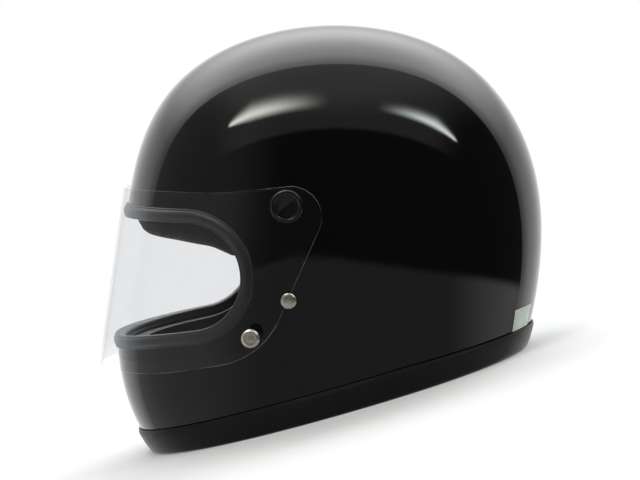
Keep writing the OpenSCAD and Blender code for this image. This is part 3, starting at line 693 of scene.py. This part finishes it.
def bottom_trim():
    stations = 320
    section = softened(RIM_SECTION)
    section[:, 1] = np.clip(section[:, 1], 0, RIM_HEIGHT)
    turn = np.linspace(0, 2 * np.pi, stations, endpoint=False)
    along = unit(np.stack([100 * np.sin(turn), 150 * np.cos(turn), 0 * turn], -1))
    top = rim_top(hit([0, SHELL_Y, RIM_HEIGHT / 2], along)[:, 1])
    share = np.clip((section[:, 1] - RIM_SOLE) / (RIM_HEIGHT - RIM_SOLE), 0, 1)
    z = section[None, :, 1] - share[None] * (RIM_HEIGHT - top)[:, None]
    start = np.stack([0 * z, 0 * z + SHELL_Y, z], -1)
    p = hit(start, along[:, None])
    out = outward(p)
    across = np.hypot(out[..., 0], out[..., 1])
    flat = np.stack([out[..., 0] / across, out[..., 1] / across, 0 * across], -1)
    rows = p + flat * (section[None, :, 0] - section[None, :, 2] * WALL / across)[..., None]
    place(ring("rim_rubber", rows), "helmet", RIM_RUBBER, "bottom_trim")


# ---------- shield ----------

# Side view of the shield's edge, as [forward, up, corner radius]
SHIELD_CORNERS = [[190, 31.5, 0], [66, 31.5, 120], [-19, 40.5, 22],
                  [37.3, -86, 57], [116, -100.6, 180], [190, -103, 0]]


def rounded(corners):
    """Outline with each corner rounded to its radius."""
    path = []
    n = len(corners)
    for i, (x, y, r) in enumerate(corners):
        c = np.array([x, y], float)
        if not r:
            path.append(c)
            continue
        u = unit(np.array(corners[i - 1][:2]) - c)
        v = unit(np.array(corners[(i + 1) % n][:2]) - c)
        half = np.arccos(u @ v) / 2
        middle = c + unit(u + v) * r / np.sin(half)
        a, b = c + u * r / np.tan(half) - middle, c + v * r / np.tan(half) - middle
        start = np.arctan2(a[1], a[0])
        sweep = (np.arctan2(b[1], b[0]) - start + np.pi) % (2 * np.pi) - np.pi
        for t in np.linspace(0, 1, max(4, int(abs(np.degrees(sweep)) / 2))):
            path.append(middle + r * np.array([np.cos(start + sweep * t), np.sin(start + sweep * t)]))
    return np.array(path)


def sheet_plan(angle):
    """Plan of the bent sheet's face: half-width and distance forward at a round angle."""
    power = 2 / FULLNESS
    return (SHEET_IN * np.cos(angle) ** power,
            SHEET_SIDES + (SHEET_NOSE - SHEET_SIDES) * np.sin(angle) ** power)


def shield():
    """Bent sheet: its plan runs round the face, cut to the outline seen from the side."""
    c, g = into_sheet(*rounded(SHIELD_CORNERS).T)
    edge_c, edge_g = np.append(c, c[0]), np.append(g, g[0])

    def heights(at):
        """Lowest and highest g of the outline at each distance forward."""
        found = []
        for value in at:
            crossing = [edge_g[i] + (edge_g[i + 1] - edge_g[i]) * (value - edge_c[i])
                        / (edge_c[i + 1] - edge_c[i])
                        for i in range(len(c)) if (edge_c[i] - value) * (edge_c[i + 1] - value) < 0]
            found.append((min(crossing), max(crossing)))
        return np.array(found)

    rear = c.min() + 0.04
    straight = rear + (SHEET_SIDES - rear) * np.linspace(0, 1, 50, endpoint=False) ** 2
    nose_x, nose_c = sheet_plan(np.linspace(0, np.pi / 2, 500))
    bend = evenly(np.stack([nose_x, nose_c], -1), 110, closed=False)
    half = np.vstack([np.stack([np.full_like(straight, SHEET_IN), straight], -1), bend])
    plan = np.vstack([half, half[-2::-1] * np.array([-1, 1])])
    span = heights(plan[:, 1])
    rows = np.linspace(0, 1, 40)
    up = span[:, :1] + (span[:, 1:] - span[:, :1]) * rows[None]
    t = unit(np.gradient(plan, axis=0))
    normal = np.stack([t[:, 1], -t[:, 0]], -1)
    faces = [on_sheet(q[:, :1], q[:, 1:], up) for q in (plan, plan + SHEET_T * normal)]
    sheet, skins = plate("clear_shield", *faces)
    place(sheet, "shield", CLEAR, "shield")
    # The edge faces and their bevel take the edge material with the painted glow
    sheet.data.materials.append(GLOWING_CLEAR_EDGE)
    for polygon in sheet.data.polygons[skins:]:
        polygon.material_index = 1
    bevel(sheet, 0.72, sharp=0, material=1)


# ---------- pivots, press studs and rivets ----------


def pivot_screw(side, name):
    axis = mirrored(LEFT, side)
    head = SHEET_T + TOUCH + WASHER_T + TOUCH / 2
    top = head + PIVOT_HEAD_T
    r = PIVOT_HEAD_R
    nut_face = float(half_width(pivot_at[1], pivot_at[2])) - WALL - 1.8 - SHEET_IN
    body = lathe("pivot_screw_head_" + name, [
        [0, nut_face - 3], [PIVOT_SHANK_R, nut_face - 3], [PIVOT_SHANK_R, head], [r - 0.5, head],
        [r, head + 0.4], [r, top - 1.7], [r - 0.15, top - 1.05], [r - 0.55, top - 0.45],
        [r - 1.15, top - 0.1], [r - 1.9, top], [r - 2.5, top - 0.08], [r - 2.9, top - 0.35],
        [r - 3.3, top - 0.62], [r - 3.9, top - 0.7], [0, top - 0.7]], mirrored(pivot_at, side), axis)
    # The coin slot slants up towards the rear
    long_way = mirrored(worn(0.0, -1, 1) - worn(0.0, 0, 0), side) / np.sqrt(2)
    across = np.cross(axis, long_way)
    middle = mirrored(pivot_at, side) + axis * (top - 0.7)
    slot = prism("slot", [[3 - r, -0.95], [r - 3, -0.95], [r - 3, 0.95], [3 - r, 0.95]],
                 lambda h, a, b: middle + a[:, None] * long_way + b[:, None] * across + h * axis,
                 (-1.6, 2))
    carve(body, slot, sharp=30)
    bevel(body, 0.18, sharp=35)
    place(body, "helmet", SCREW_PLASTIC, "pivot_screw_" + name)


def snap_cap(side, name):
    base = SHEET_T + 0.2
    top = base + CAP_T
    cap = lathe("press_stud_cap_" + name, [
        [0, -1.3], [3.6, -1.3], [3.6, -3.3], [6, -3.3], [6, -0.3], [2.4, -0.3], [2.4, base],
        [CAP_R - 0.2, base], [CAP_R, base + 0.2], [CAP_R, base + 0.55], [CAP_R - 0.35, base + 0.75],
        [CAP_R - 0.5, base + 0.95], [CAP_R - 0.35, top - 1], [CAP_R - 0.6, top - 0.55],
        [CAP_R - 1.1, top - 0.2], [CAP_R - 1.9, top - 0.02], [CAP_R - 2.6, top - 0.12],
        [CAP_R - 3.2, top - 0.14], [2, top - 0.05], [0, top]],
        mirrored(stud_at, side), mirrored(stud_axis, side))
    place(cap, "shield", NICKEL, "snap_cap_" + name)


def strap_rivet(side, name):
    depth = WALL + 0.9
    r = RIVET_HEAD_R
    seat = -1.5
    dome = [[r * np.cos(a), seat + 2.2 + 1.6 * np.sin(a)] for a in np.radians(np.arange(0, 91, 7.5))]
    body = lathe("strap_rivet_dome_" + name, [
        [0, -depth - 4.4], [2.4, -depth - 4.4], [3.4, -depth - 4.3], [4.2, -depth - 3.6],
        [4.2, -depth - 3.4], [2.4, -depth - 3.3], [2.4, -depth - 1.8], [6, -depth - 1.8],
        [6, -depth], [2.4, -depth], [2.4, 0.02], [r - 0.3, 0.02], [r, 0.3], *dome],
        mirrored(rivet_at, side), mirrored(LEFT, side))
    place(body, "helmet", NICKEL, "strap_rivet_" + name)


def rear_label():
    """Blank foil strip just above the bottom trim, left of the nape."""
    turn = np.radians(21 + np.linspace(-5.5, 5.5, 25))
    up = np.linspace(0, 15, 17)
    along = np.stack([np.sin(turn), np.cos(turn), 0 * turn], -1)
    low = rim_top(hit([0, SHELL_Y, RIM_HEIGHT], along)[:, 1]) + 1
    z = low[:, None] + up[None]
    p = hit(np.stack([0 * z, 0 * z + SHELL_Y, z], -1), along[:, None])
    out = outward(p)
    strip = plate("blank_label", p + 0.1 * out, p + 0.35 * out)[0]
    place(strip, "helmet", FOIL, "rear_label")


# ---------- chin strap ----------

RING_BAR_X, RING_LEG, RING_LOW, RING_HIGH, RING_WIRE = -39, 9, 12.5, 18.5, 1.5
ANCHOR_T = 1.2
LAP = STRAP_T / 2 + TOUCH
PLATE_IN = rivet_x - WALL - 0.9 - 1.8 - TOUCH - ANCHOR_T / 2 - 6.8
BAR_Z = rivet_at[2] - 33
STRAP_LOW, STRAP_BOW = 7, 2.8
STRAP_HALF = PLATE_IN - ANCHOR_T / 2 - LAP
BAR_OUT = PLATE_IN + ANCHOR_T / 2 + LAP
RING_HALF = STRAP_WIDTH / 2 + RING_WIRE + 0.6
RING_LAP = RING_WIRE + LAP
RING_TIP = RING_BAR_X + RING_LEG + RING_HALF


def arc(middle, radius, start, end):
    a = np.radians(np.linspace(start, end, 9))
    return [[middle[0] + radius * np.cos(t), middle[1] + radius * np.sin(t)] for t in a]


def hanging(to, steps):
    """A strap's bowed fall from the side down to the chin, as [across, height]."""
    a = np.radians(np.linspace(4, to, steps))
    return [[STRAP_HALF * np.cos(t) ** (2 / STRAP_BOW),
             BAR_Z - 3 - (BAR_Z - 3 - STRAP_LOW) * np.sin(t) ** (2 / STRAP_BOW)] for t in a]


BAR_LOOP = [[STRAP_HALF + 1, BAR_Z - 16], [BAR_OUT - 0.6, BAR_Z - 9], [BAR_OUT, BAR_Z - 4],
            *arc([PLATE_IN, BAR_Z + 2.4], ANCHOR_T / 2 + LAP, 0, 180)]
UP_X = RING_BAR_X + RING_WIRE + STRAP_T + 3 * TOUCH + STRAP_T / 2 + 0.2
DOWN_X = UP_X + STRAP_T + 3 * TOUCH
LONG_PATH = [
    *BAR_LOOP, *hanging(78, 36), [RING_TIP + 4, STRAP_LOW], [UP_X + 2.4, STRAP_LOW],
    [UP_X + 0.6, STRAP_LOW + 0.8], [UP_X, STRAP_LOW + 2.6], [UP_X, RING_HIGH + RING_LAP - 1.8],
    [UP_X + 0.6, RING_HIGH + RING_LAP - 0.5], [UP_X + 2, RING_HIGH + RING_LAP],
    *arc([RING_TIP, RING_HIGH], RING_LAP, 90, -60), [RING_TIP - 0.6, RING_HIGH - 3],
    [DOWN_X + 1.6, RING_HIGH - 3], [DOWN_X + 0.4, RING_HIGH - 3.8], [DOWN_X, RING_LOW + 0.8],
    [DOWN_X, RING_LOW - 1], [DOWN_X + 0.8, RING_LOW - 2.8],
    [DOWN_X + 2.4, RING_LOW - RING_LAP - 0.6], [RING_TIP + 6, RING_LOW - RING_LAP - 0.6],
    [RING_TIP + 36, RING_LOW - RING_LAP + 0.3], [RING_TIP + 60, RING_LOW - RING_LAP + 1.6]]
SHORT_PATH = [
    *BAR_LOOP, *hanging(60, 30), [7 - RING_BAR_X, RING_LOW - RING_LAP],
    *arc([-RING_BAR_X, RING_LOW], RING_LAP, 270, 180),
    *arc([-RING_BAR_X, RING_HIGH], RING_LAP, 180, 90),
    [4 - RING_BAR_X, RING_HIGH + RING_LAP - 0.6], [13 - RING_BAR_X, RING_LOW + 3.5],
    [20 - RING_BAR_X, RING_LOW + 2]]


def ribbon(name, path, side, node):
    """Webbing swept along a path in the strap's plane, with soft edges and a measured UV map."""
    path = np.array(path, float)
    path = evenly(path, int(run_of(path)[-1] / 0.9), closed=False)
    t = unit(np.gradient(path, axis=0))
    normal = np.stack([-t[:, 1], t[:, 0]], -1)
    w, h = STRAP_WIDTH / 2, STRAP_T / 2 - 0.02
    half = [[a, h] for a in np.linspace(-w + 0.7, w - 0.7, 12)]
    half += [[w - 0.2, h * 0.7], [w, 0], [w - 0.2, -h * 0.7]]
    section = np.vstack([half, -np.array(half)])
    flat = path[:, None] + section[None, :, 1:] * normal[:, None]
    rows = np.stack([side * flat[..., 0], rivet_at[1] + section[None, :, 0] + 0 * flat[..., 0],
                     flat[..., 1]], -1)
    strap = tube(name, rows)
    m = len(section)
    run = run_of(path) * MM
    uv = strap.data.uv_layers.new(name="strap")
    for loop in strap.data.loops:
        i, j = divmod(loop.vertex_index, m)
        uv.data[loop.index].uv = (run[i], section[j, 0] * MM)
    place(strap, "chin_strap", WEBBING, node)


# ---------- foam, lining and pads ----------

FOAM_T, CHIN_FOAM_T, LINING_T = 31, 17, 8
FOAM_OUT = WALL + 0.8
FOAM_IN = FOAM_OUT + FOAM_T
LINING_IN = FOAM_IN + TOUCH + LINING_T
FOAM_EDGE_Z, FOAM_EDGE_FALL, CHIN_FOAM_REAR = 92, 0.27, 76
PAD_FLOOR, PAD_GAP = 24, 1.5
CHEEK_OUT, CHEEK_IN, CHEEK_ACROSS = 18.2, 45.8, 41
CHEEK_FRONT, CHEEK_REAR, CHEEK_FLOOR = -74.4, 10.8, 45.2
NECK_FRONT, NECK_REAR = 27, 202


def foam_edge(y):
    """Height of the impact foam's lower edge."""
    return FOAM_EDGE_Z - FOAM_EDGE_FALL * (y - SHELL_Y)


def to_edge(y0, y1, z, lift):
    """Solid between the level z and the impact foam's lower edge, raised by lift."""
    return prism("to_edge", [[y0, z], [y1, z], [y1, foam_edge(y1) + lift], [y0, foam_edge(y0) + lift]],
                 side_place)


def settle(obj, voxel, pressure, cap, soften=4):
    """Swells a pad as cloth under slight pressure, moves no point over cap, and smooths it."""
    steps = 20
    remesh = obj.modifiers.new("even", "REMESH")
    remesh.mode = "VOXEL"
    remesh.voxel_size = voxel * MM
    remesh.adaptivity = 0
    bake(obj)
    smooth = obj.modifiers.new("soften", "SMOOTH")
    smooth.factor = 0.5
    smooth.iterations = soften
    bake(obj)
    before = np.array([v.co for v in obj.data.vertices])
    cloth = obj.modifiers.new("cloth", "CLOTH")
    cloth.settings.quality = 4
    cloth.settings.use_pressure = True
    cloth.settings.uniform_pressure_force = pressure
    cloth.settings.effector_weights.gravity = 0
    cloth.settings.tension_stiffness = 25
    cloth.settings.compression_stiffness = 25
    cloth.settings.bending_stiffness = 1.5
    cloth.point_cache.frame_start = 1
    cloth.point_cache.frame_end = steps
    for f in range(1, steps + 1):
        scene.frame_set(f)
    graph = bpy.context.evaluated_depsgraph_get()
    swollen = obj.evaluated_get(graph).to_mesh()
    after = np.array([v.co for v in swollen.vertices])
    obj.evaluated_get(graph).to_mesh_clear()
    obj.modifiers.clear()
    scene.frame_set(1)
    step = after - before
    far = np.linalg.norm(step, axis=1, keepdims=True)
    step *= np.minimum(1, cap * MM / np.maximum(far, 1e-9))
    obj.data.vertices.foreach_set("co", (before + step).ravel())
    obj.data.update()
    fine = obj.modifiers.new("fine", "SUBSURF")
    fine.levels = fine.render_levels = 1
    bake(obj)
    tidy(obj, 0)


def crown_lining():
    pad = layer("crown_lining_pad", FOAM_IN + TOUCH + 0.8, LINING_IN - 0.8, sharp=0,
                keep=[to_edge(-BEYOND, BEYOND, 2 * BEYOND, 5.5)], away=[port_cutter(9.5)])
    settle(pad, 3.2, 2.5, 1.2)
    place(pad, "helmet", LINING, "crown_lining")


def brow_pad():
    """Roll of padded cloth along the top of the eyeport, its lower edge slightly waved."""
    x = np.linspace(56, 175, 70)
    wave = np.interp(x, [56, 68, 80, 94, 110, 122, 129, 134, 175],
                     [-18, -10.8, -6.2, -4.7, -3.8, -2.2, 1.5, 8, 16]) + 0.5 * np.sin((x - 56) / 6.5)
    outline = np.vstack([np.stack([x, wave], -1), [[FRONT, 16], [FRONT, 90], [56, 90]]])
    pad = layer("brow_pad_roll", WALL + 3.6, LINING_IN - 0.8, sharp=0,
                keep=[prism("port", port_outline(6.1), worn), prism("brow", outline, worn)])
    settle(pad, 2.6, 3, 1.4, soften=14)
    place(pad, "helmet", BROW_FABRIC, "brow_pad")


def cheek_pad(side, name):
    pad = layer("cheek_pad_" + name + "_cushion", CHEEK_OUT, CHEEK_IN, sharp=0,
                away=[port_cutter(8.2)],
                keep=[to_edge(CHEEK_FRONT, CHEEK_REAR, CHEEK_FLOOR, -PAD_GAP),
                      box(-BEYOND, BEYOND, -BEYOND, BEYOND, (CHEEK_ACROSS, BEYOND))])
    pad.data.transform(Matrix.Diagonal((side, 1, 1, 1)))
    tidy(pad, 0)
    settle(pad, 3.6, 4, 3)
    place(pad, "helmet", LINING, "cheek_pad_" + name)


def neck_roll():
    pad = layer("neck_roll_cushion", FOAM_OUT + 1.2, FOAM_OUT + 19, sharp=0,
                keep=[to_edge(NECK_FRONT, NECK_REAR, PAD_FLOOR + 1, -PAD_GAP)])
    settle(pad, 3.4, 4, 2.5)
    place(pad, "helmet", LINING, "neck_roll")


def impact_liner():
    away = [port_cutter(7)]
    for side in SIDES.values():
        for at, radius in ((pivot_at, 11), (rivet_at, 18)):
            away.append(bore(radius, at, LEFT, side, -22, -2))
    foam = layer("impact_foam", FOAM_OUT, FOAM_IN, away=away,
                 keep=[to_edge(-BEYOND, BEYOND, 2 * BEYOND, 0)])
    bevel(foam, 1.2)
    place(foam, "helmet", BEAD_FOAM, "impact_liner")


def chin_bar_liner():
    foam = layer("chin_bar_foam", FOAM_OUT, FOAM_OUT + CHIN_FOAM_T, away=[port_cutter(3.2)],
                 keep=[box(-BEYOND, -CHIN_FOAM_REAR, PAD_FLOOR, SHELL_LEVEL)])
    bevel(foam, 3, 4)
    place(foam, "helmet", CHIN_SKIN, "chin_bar_liner")


# ---------- the whole helmet ----------

outer_shell()
eyeport_trim()
bottom_trim()
shield()
rear_label()
for name, side in SIDES.items():
    pivot_screw(side, name)
    snap_cap(side, name)
    strap_rivet(side, name)
    cheek_pad(side, name)
ribbon("webbing_long", LONG_PATH, 1, "chin_strap_long")
ribbon("webbing_short", SHORT_PATH, -1, "chin_strap_short")
crown_lining()
brow_pad()
neck_roll()
impact_liner()
chin_bar_liner()

CAD_FINISH = {"pivot_washer": SEAL_RUBBER, "pivot_spacer": SEAL_RUBBER, "pivot_nut": NICKEL,
              "snap_stud": NICKEL, "strap_anchor": DARK_STEEL, "d_rings": RING_STEEL}
for node_name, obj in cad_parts.items():
    for start, material in CAD_FINISH.items():
        if node_name.startswith(start):
            obj.data.materials.clear()
            obj.data.materials.append(material)

# ---------- floor, light and camera ----------

# The camera's own axes: the helmet leans in view as it does when it is worn
UP = np.array([0, np.sin(FACE_TILT), np.cos(FACE_TILT)])
RIGHT = np.array([0, np.cos(FACE_TILT), -np.sin(FACE_TILT)])
TOWARD = LEFT


def seen_along(v):
    """Direction from [right, up, toward] as the camera sees them."""
    v = unit(np.array(v, float))
    return v[0] * RIGHT + v[1] * UP + v[2] * TOWARD


def stand(obj, middle, x, y, z):
    """Puts an object at a place in metres, with its own axes along x, y and z."""
    turn = Matrix(np.stack([x, y, z], axis=1).tolist()).to_4x4()
    obj.matrix_world = Matrix.Translation(middle) @ turn


def studio_floor():
    size = 4.0
    data = bpy.data.meshes.new("floor")
    data.from_pydata([(-size, -size, 0), (size, -size, 0), (size, size, 0), (-size, size, 0)], [],
                     [(0, 1, 2, 3)])
    floor = into_scene("floor", data)
    m = Paint("pale_floor")
    lift = m.times(m.node("ShaderNodeLightPath").outputs["Is Camera Ray"], 0.2)
    m.look(Base_Color=m.ramp(m.noise(300, 2), (0.3, (0.59, 0.59, 0.595)), (0.7, (0.61, 0.61, 0.615))),
           Roughness=0.9, Emission_Color=(1, 1, 1, 1), Emission_Strength=lift)
    radius = m.node("ShaderNodeVectorMath", operation="LENGTH", Vector=m.place).outputs["Value"]
    m.blend(m.step(radius, 0.3, 1.3), m.shader, m.node("ShaderNodeBsdfTransparent"))
    data.materials.append(m.material)
    floor.visible_glossy = False


class Sky(Nodes):
    """The nodes of a world whose light depends on its direction alone."""

    def __init__(self, tree):
        super().__init__(tree)
        self.direction = self.node("ShaderNodeTexCoord").outputs["Generated"]

    def along(self, axis):
        """How far the direction points along an axis."""
        n = self.node("ShaderNodeVectorMath", operation="DOT_PRODUCT", Vector=self.direction)
        n.inputs[1].default_value = Vector(axis)
        return n.outputs["Value"]

    def streak(self, *corners):
        """Strip light from tip to far, wider and fainter on the way and fading towards top."""
        strength = 31.0
        math = self.math
        tip, far, top = [seen_along(v) for v in corners]
        normal = unit(tip + far)
        tip, far, top = [v / (v @ normal) for v in (tip, far, top)]
        lengthwise = unit(far - tip)
        crosswise = np.cross(normal, lengthwise)
        depth = math("MAXIMUM", self.along(normal), 0.2)
        # u goes from 0 at the tip to 1 at the far end, and v from 0 there to 1 at the top
        u, v = [math("DIVIDE", math("SUBTRACT", math("DIVIDE", self.along(axis), depth), tip @ axis),
                     (end - tip) @ axis) for axis, end in ((lengthwise, far), (crosswise, top))]
        spread = math("MINIMUM", math("MAXIMUM", math("MULTIPLY_ADD", u, 1.2, 0.12), 0.09), 0.52)
        rise = math("DIVIDE", math("MAXIMUM", math("MULTIPLY_ADD", u, -0.12, v), 0.0), spread)
        lower = self.step(math("DIVIDE", v, math("MULTIPLY_ADD", spread, 0.45, 0.03)), -1.0, 1.0)
        return self.times(math("EXPONENT", self.times(rise, rise, -1.0)), lower,
                          self.step(u, -0.03, 0.05), self.step(u, 1.15, 0.45),
                          math("MULTIPLY_ADD", u, -0.45 * strength, strength))


def studio_world():
    """White round the back of the set, a pale ceiling, and a dark room behind the camera."""
    world = bpy.data.worlds.new("studio")
    world.use_nodes = True
    scene.world = world
    world.node_tree.nodes.clear()
    sky = Sky(world.node_tree)
    up, right, toward = [sky.along(axis) for axis in (UP, RIGHT, TOWARD)]
    past = sky.math("SUBTRACT", toward, sky.math("MULTIPLY_ADD", up, 0.3, -0.37))
    behind = sky.math("MULTIPLY_ADD", sky.step(past, 0.01, -0.015), 0.5,
                      sky.step(past, 0.0, -0.2, 0.0, 0.5))
    backdrop = sky.step(up, 0.3, 0.8, 1.25, 4.4)
    arch = sky.math("MULTIPLY_ADD", sky.times(right, right), 0.45, up)
    ceiling = sky.times(sky.step(arch, 0.67, 0.71), sky.step(up, 0.74, 0.96, 0.42, 0.9),
                        sky.step(right, -0.8, -0.45), sky.step(right, 0.85, 0.6))
    left_wall = sky.step(right, -0.15, -0.7, 0.0, 0.3)
    below = sky.times(sky.step(sky.math("MULTIPLY_ADD", right, 0.1, up), -0.095, -0.13),
                      sky.step(right, 0.75, 1.0, 0.34, 1.0))
    room = sky.plus(ceiling, left_wall, below, 0.07)
    mix = sky.plus(sky.times(behind, backdrop), sky.times(sky.math("SUBTRACT", 1.0, behind), room))
    path = sky.node("ShaderNodeLightPath")
    seen = sky.math("MAXIMUM", path.outputs["Is Camera Ray"], path.outputs["Is Transmission Ray"])
    # Diffuse light from the set is a quarter of what is mirrored in it
    soft = sky.times(sky.math("MULTIPLY_ADD", path.outputs["Is Diffuse Ray"], -0.75, 1.0),
                     sky.math("SUBTRACT", 1.0, seen))
    warm = sky.streak((-0.61, 0.69, 0.39), (-0.06, 0.85, 0.53), (-0.37, 0.88, 0.27))
    cool = sky.streak((0.80, 0.50, 0.33), (0.33, 0.79, 0.52), (0.62, 0.70, 0.30))
    total = sky.fill("ShaderNodeBackground", (1, 1, 1, 1), sky.plus(seen, sky.times(mix, soft)))
    for colour, strip in (((1, 0.98, 0.92, 1), warm), ((0.92, 1, 0.95, 1), cool)):
        light = sky.fill("ShaderNodeBackground", colour, sky.times(soft, strip))
        total = sky.fill("ShaderNodeAddShader", total, light)
    sky.set(sky.node("ShaderNodeOutputWorld").inputs[0], total)


def softbox(name, low_left, low_right, top, distance, radiance):
    """Area lamp over a patch of directions, each [right, up, toward]; no gloss mirrors it."""
    a, b, c = [seen_along(v) * distance for v in (low_left, low_right, top)]
    x = unit(b - a)
    y = c - (a + b) / 2
    y = y - (y @ x) * x
    middle = (a + b) / 2 + y / 2 + CENTRE * MM
    data = bpy.data.lights.new(name, "AREA")
    data.shape = "RECTANGLE"
    data.size, data.size_y = float(np.linalg.norm(b - a)), float(np.linalg.norm(y))
    data.energy = radiance * np.pi * data.size * data.size_y
    z = unit(middle - CENTRE * MM)
    x = unit(x - (x @ z) * z)
    lamp = into_scene(name, data)
    stand(lamp, middle, x, np.cross(z, x), z)
    lamp.visible_camera = False
    lamp.visible_glossy = False


def camera():
    """Side view from the wearer's left, square to the face's own frame and slightly above."""
    height = np.radians(3.7)
    target = np.array([0, 7.3, 119.5]) * MM
    distance = 2.0
    view = TOWARD * np.cos(height) + UP * np.sin(height)
    top = UP * np.cos(height) - TOWARD * np.sin(height)
    data = bpy.data.cameras.new("camera")
    data.lens = 148.03
    data.sensor_width = 36
    cam = into_scene("camera", data)
    stand(cam, target + view * distance, RIGHT, top, view)
    scene.camera = cam


studio_floor()
studio_world()
softbox("overhead", (-0.6, 0.75, -0.2), (0.6, 0.75, -0.2), (0, 0.9, -0.7), 2.4, 3.2)
softbox("front_fill", (-0.55, 0.25, 0.8), (0.55, 0.25, 0.8), (0, 0.75, 0.62), 2.6, 0.8)
camera()
scene.view_settings.view_transform = "Standard"
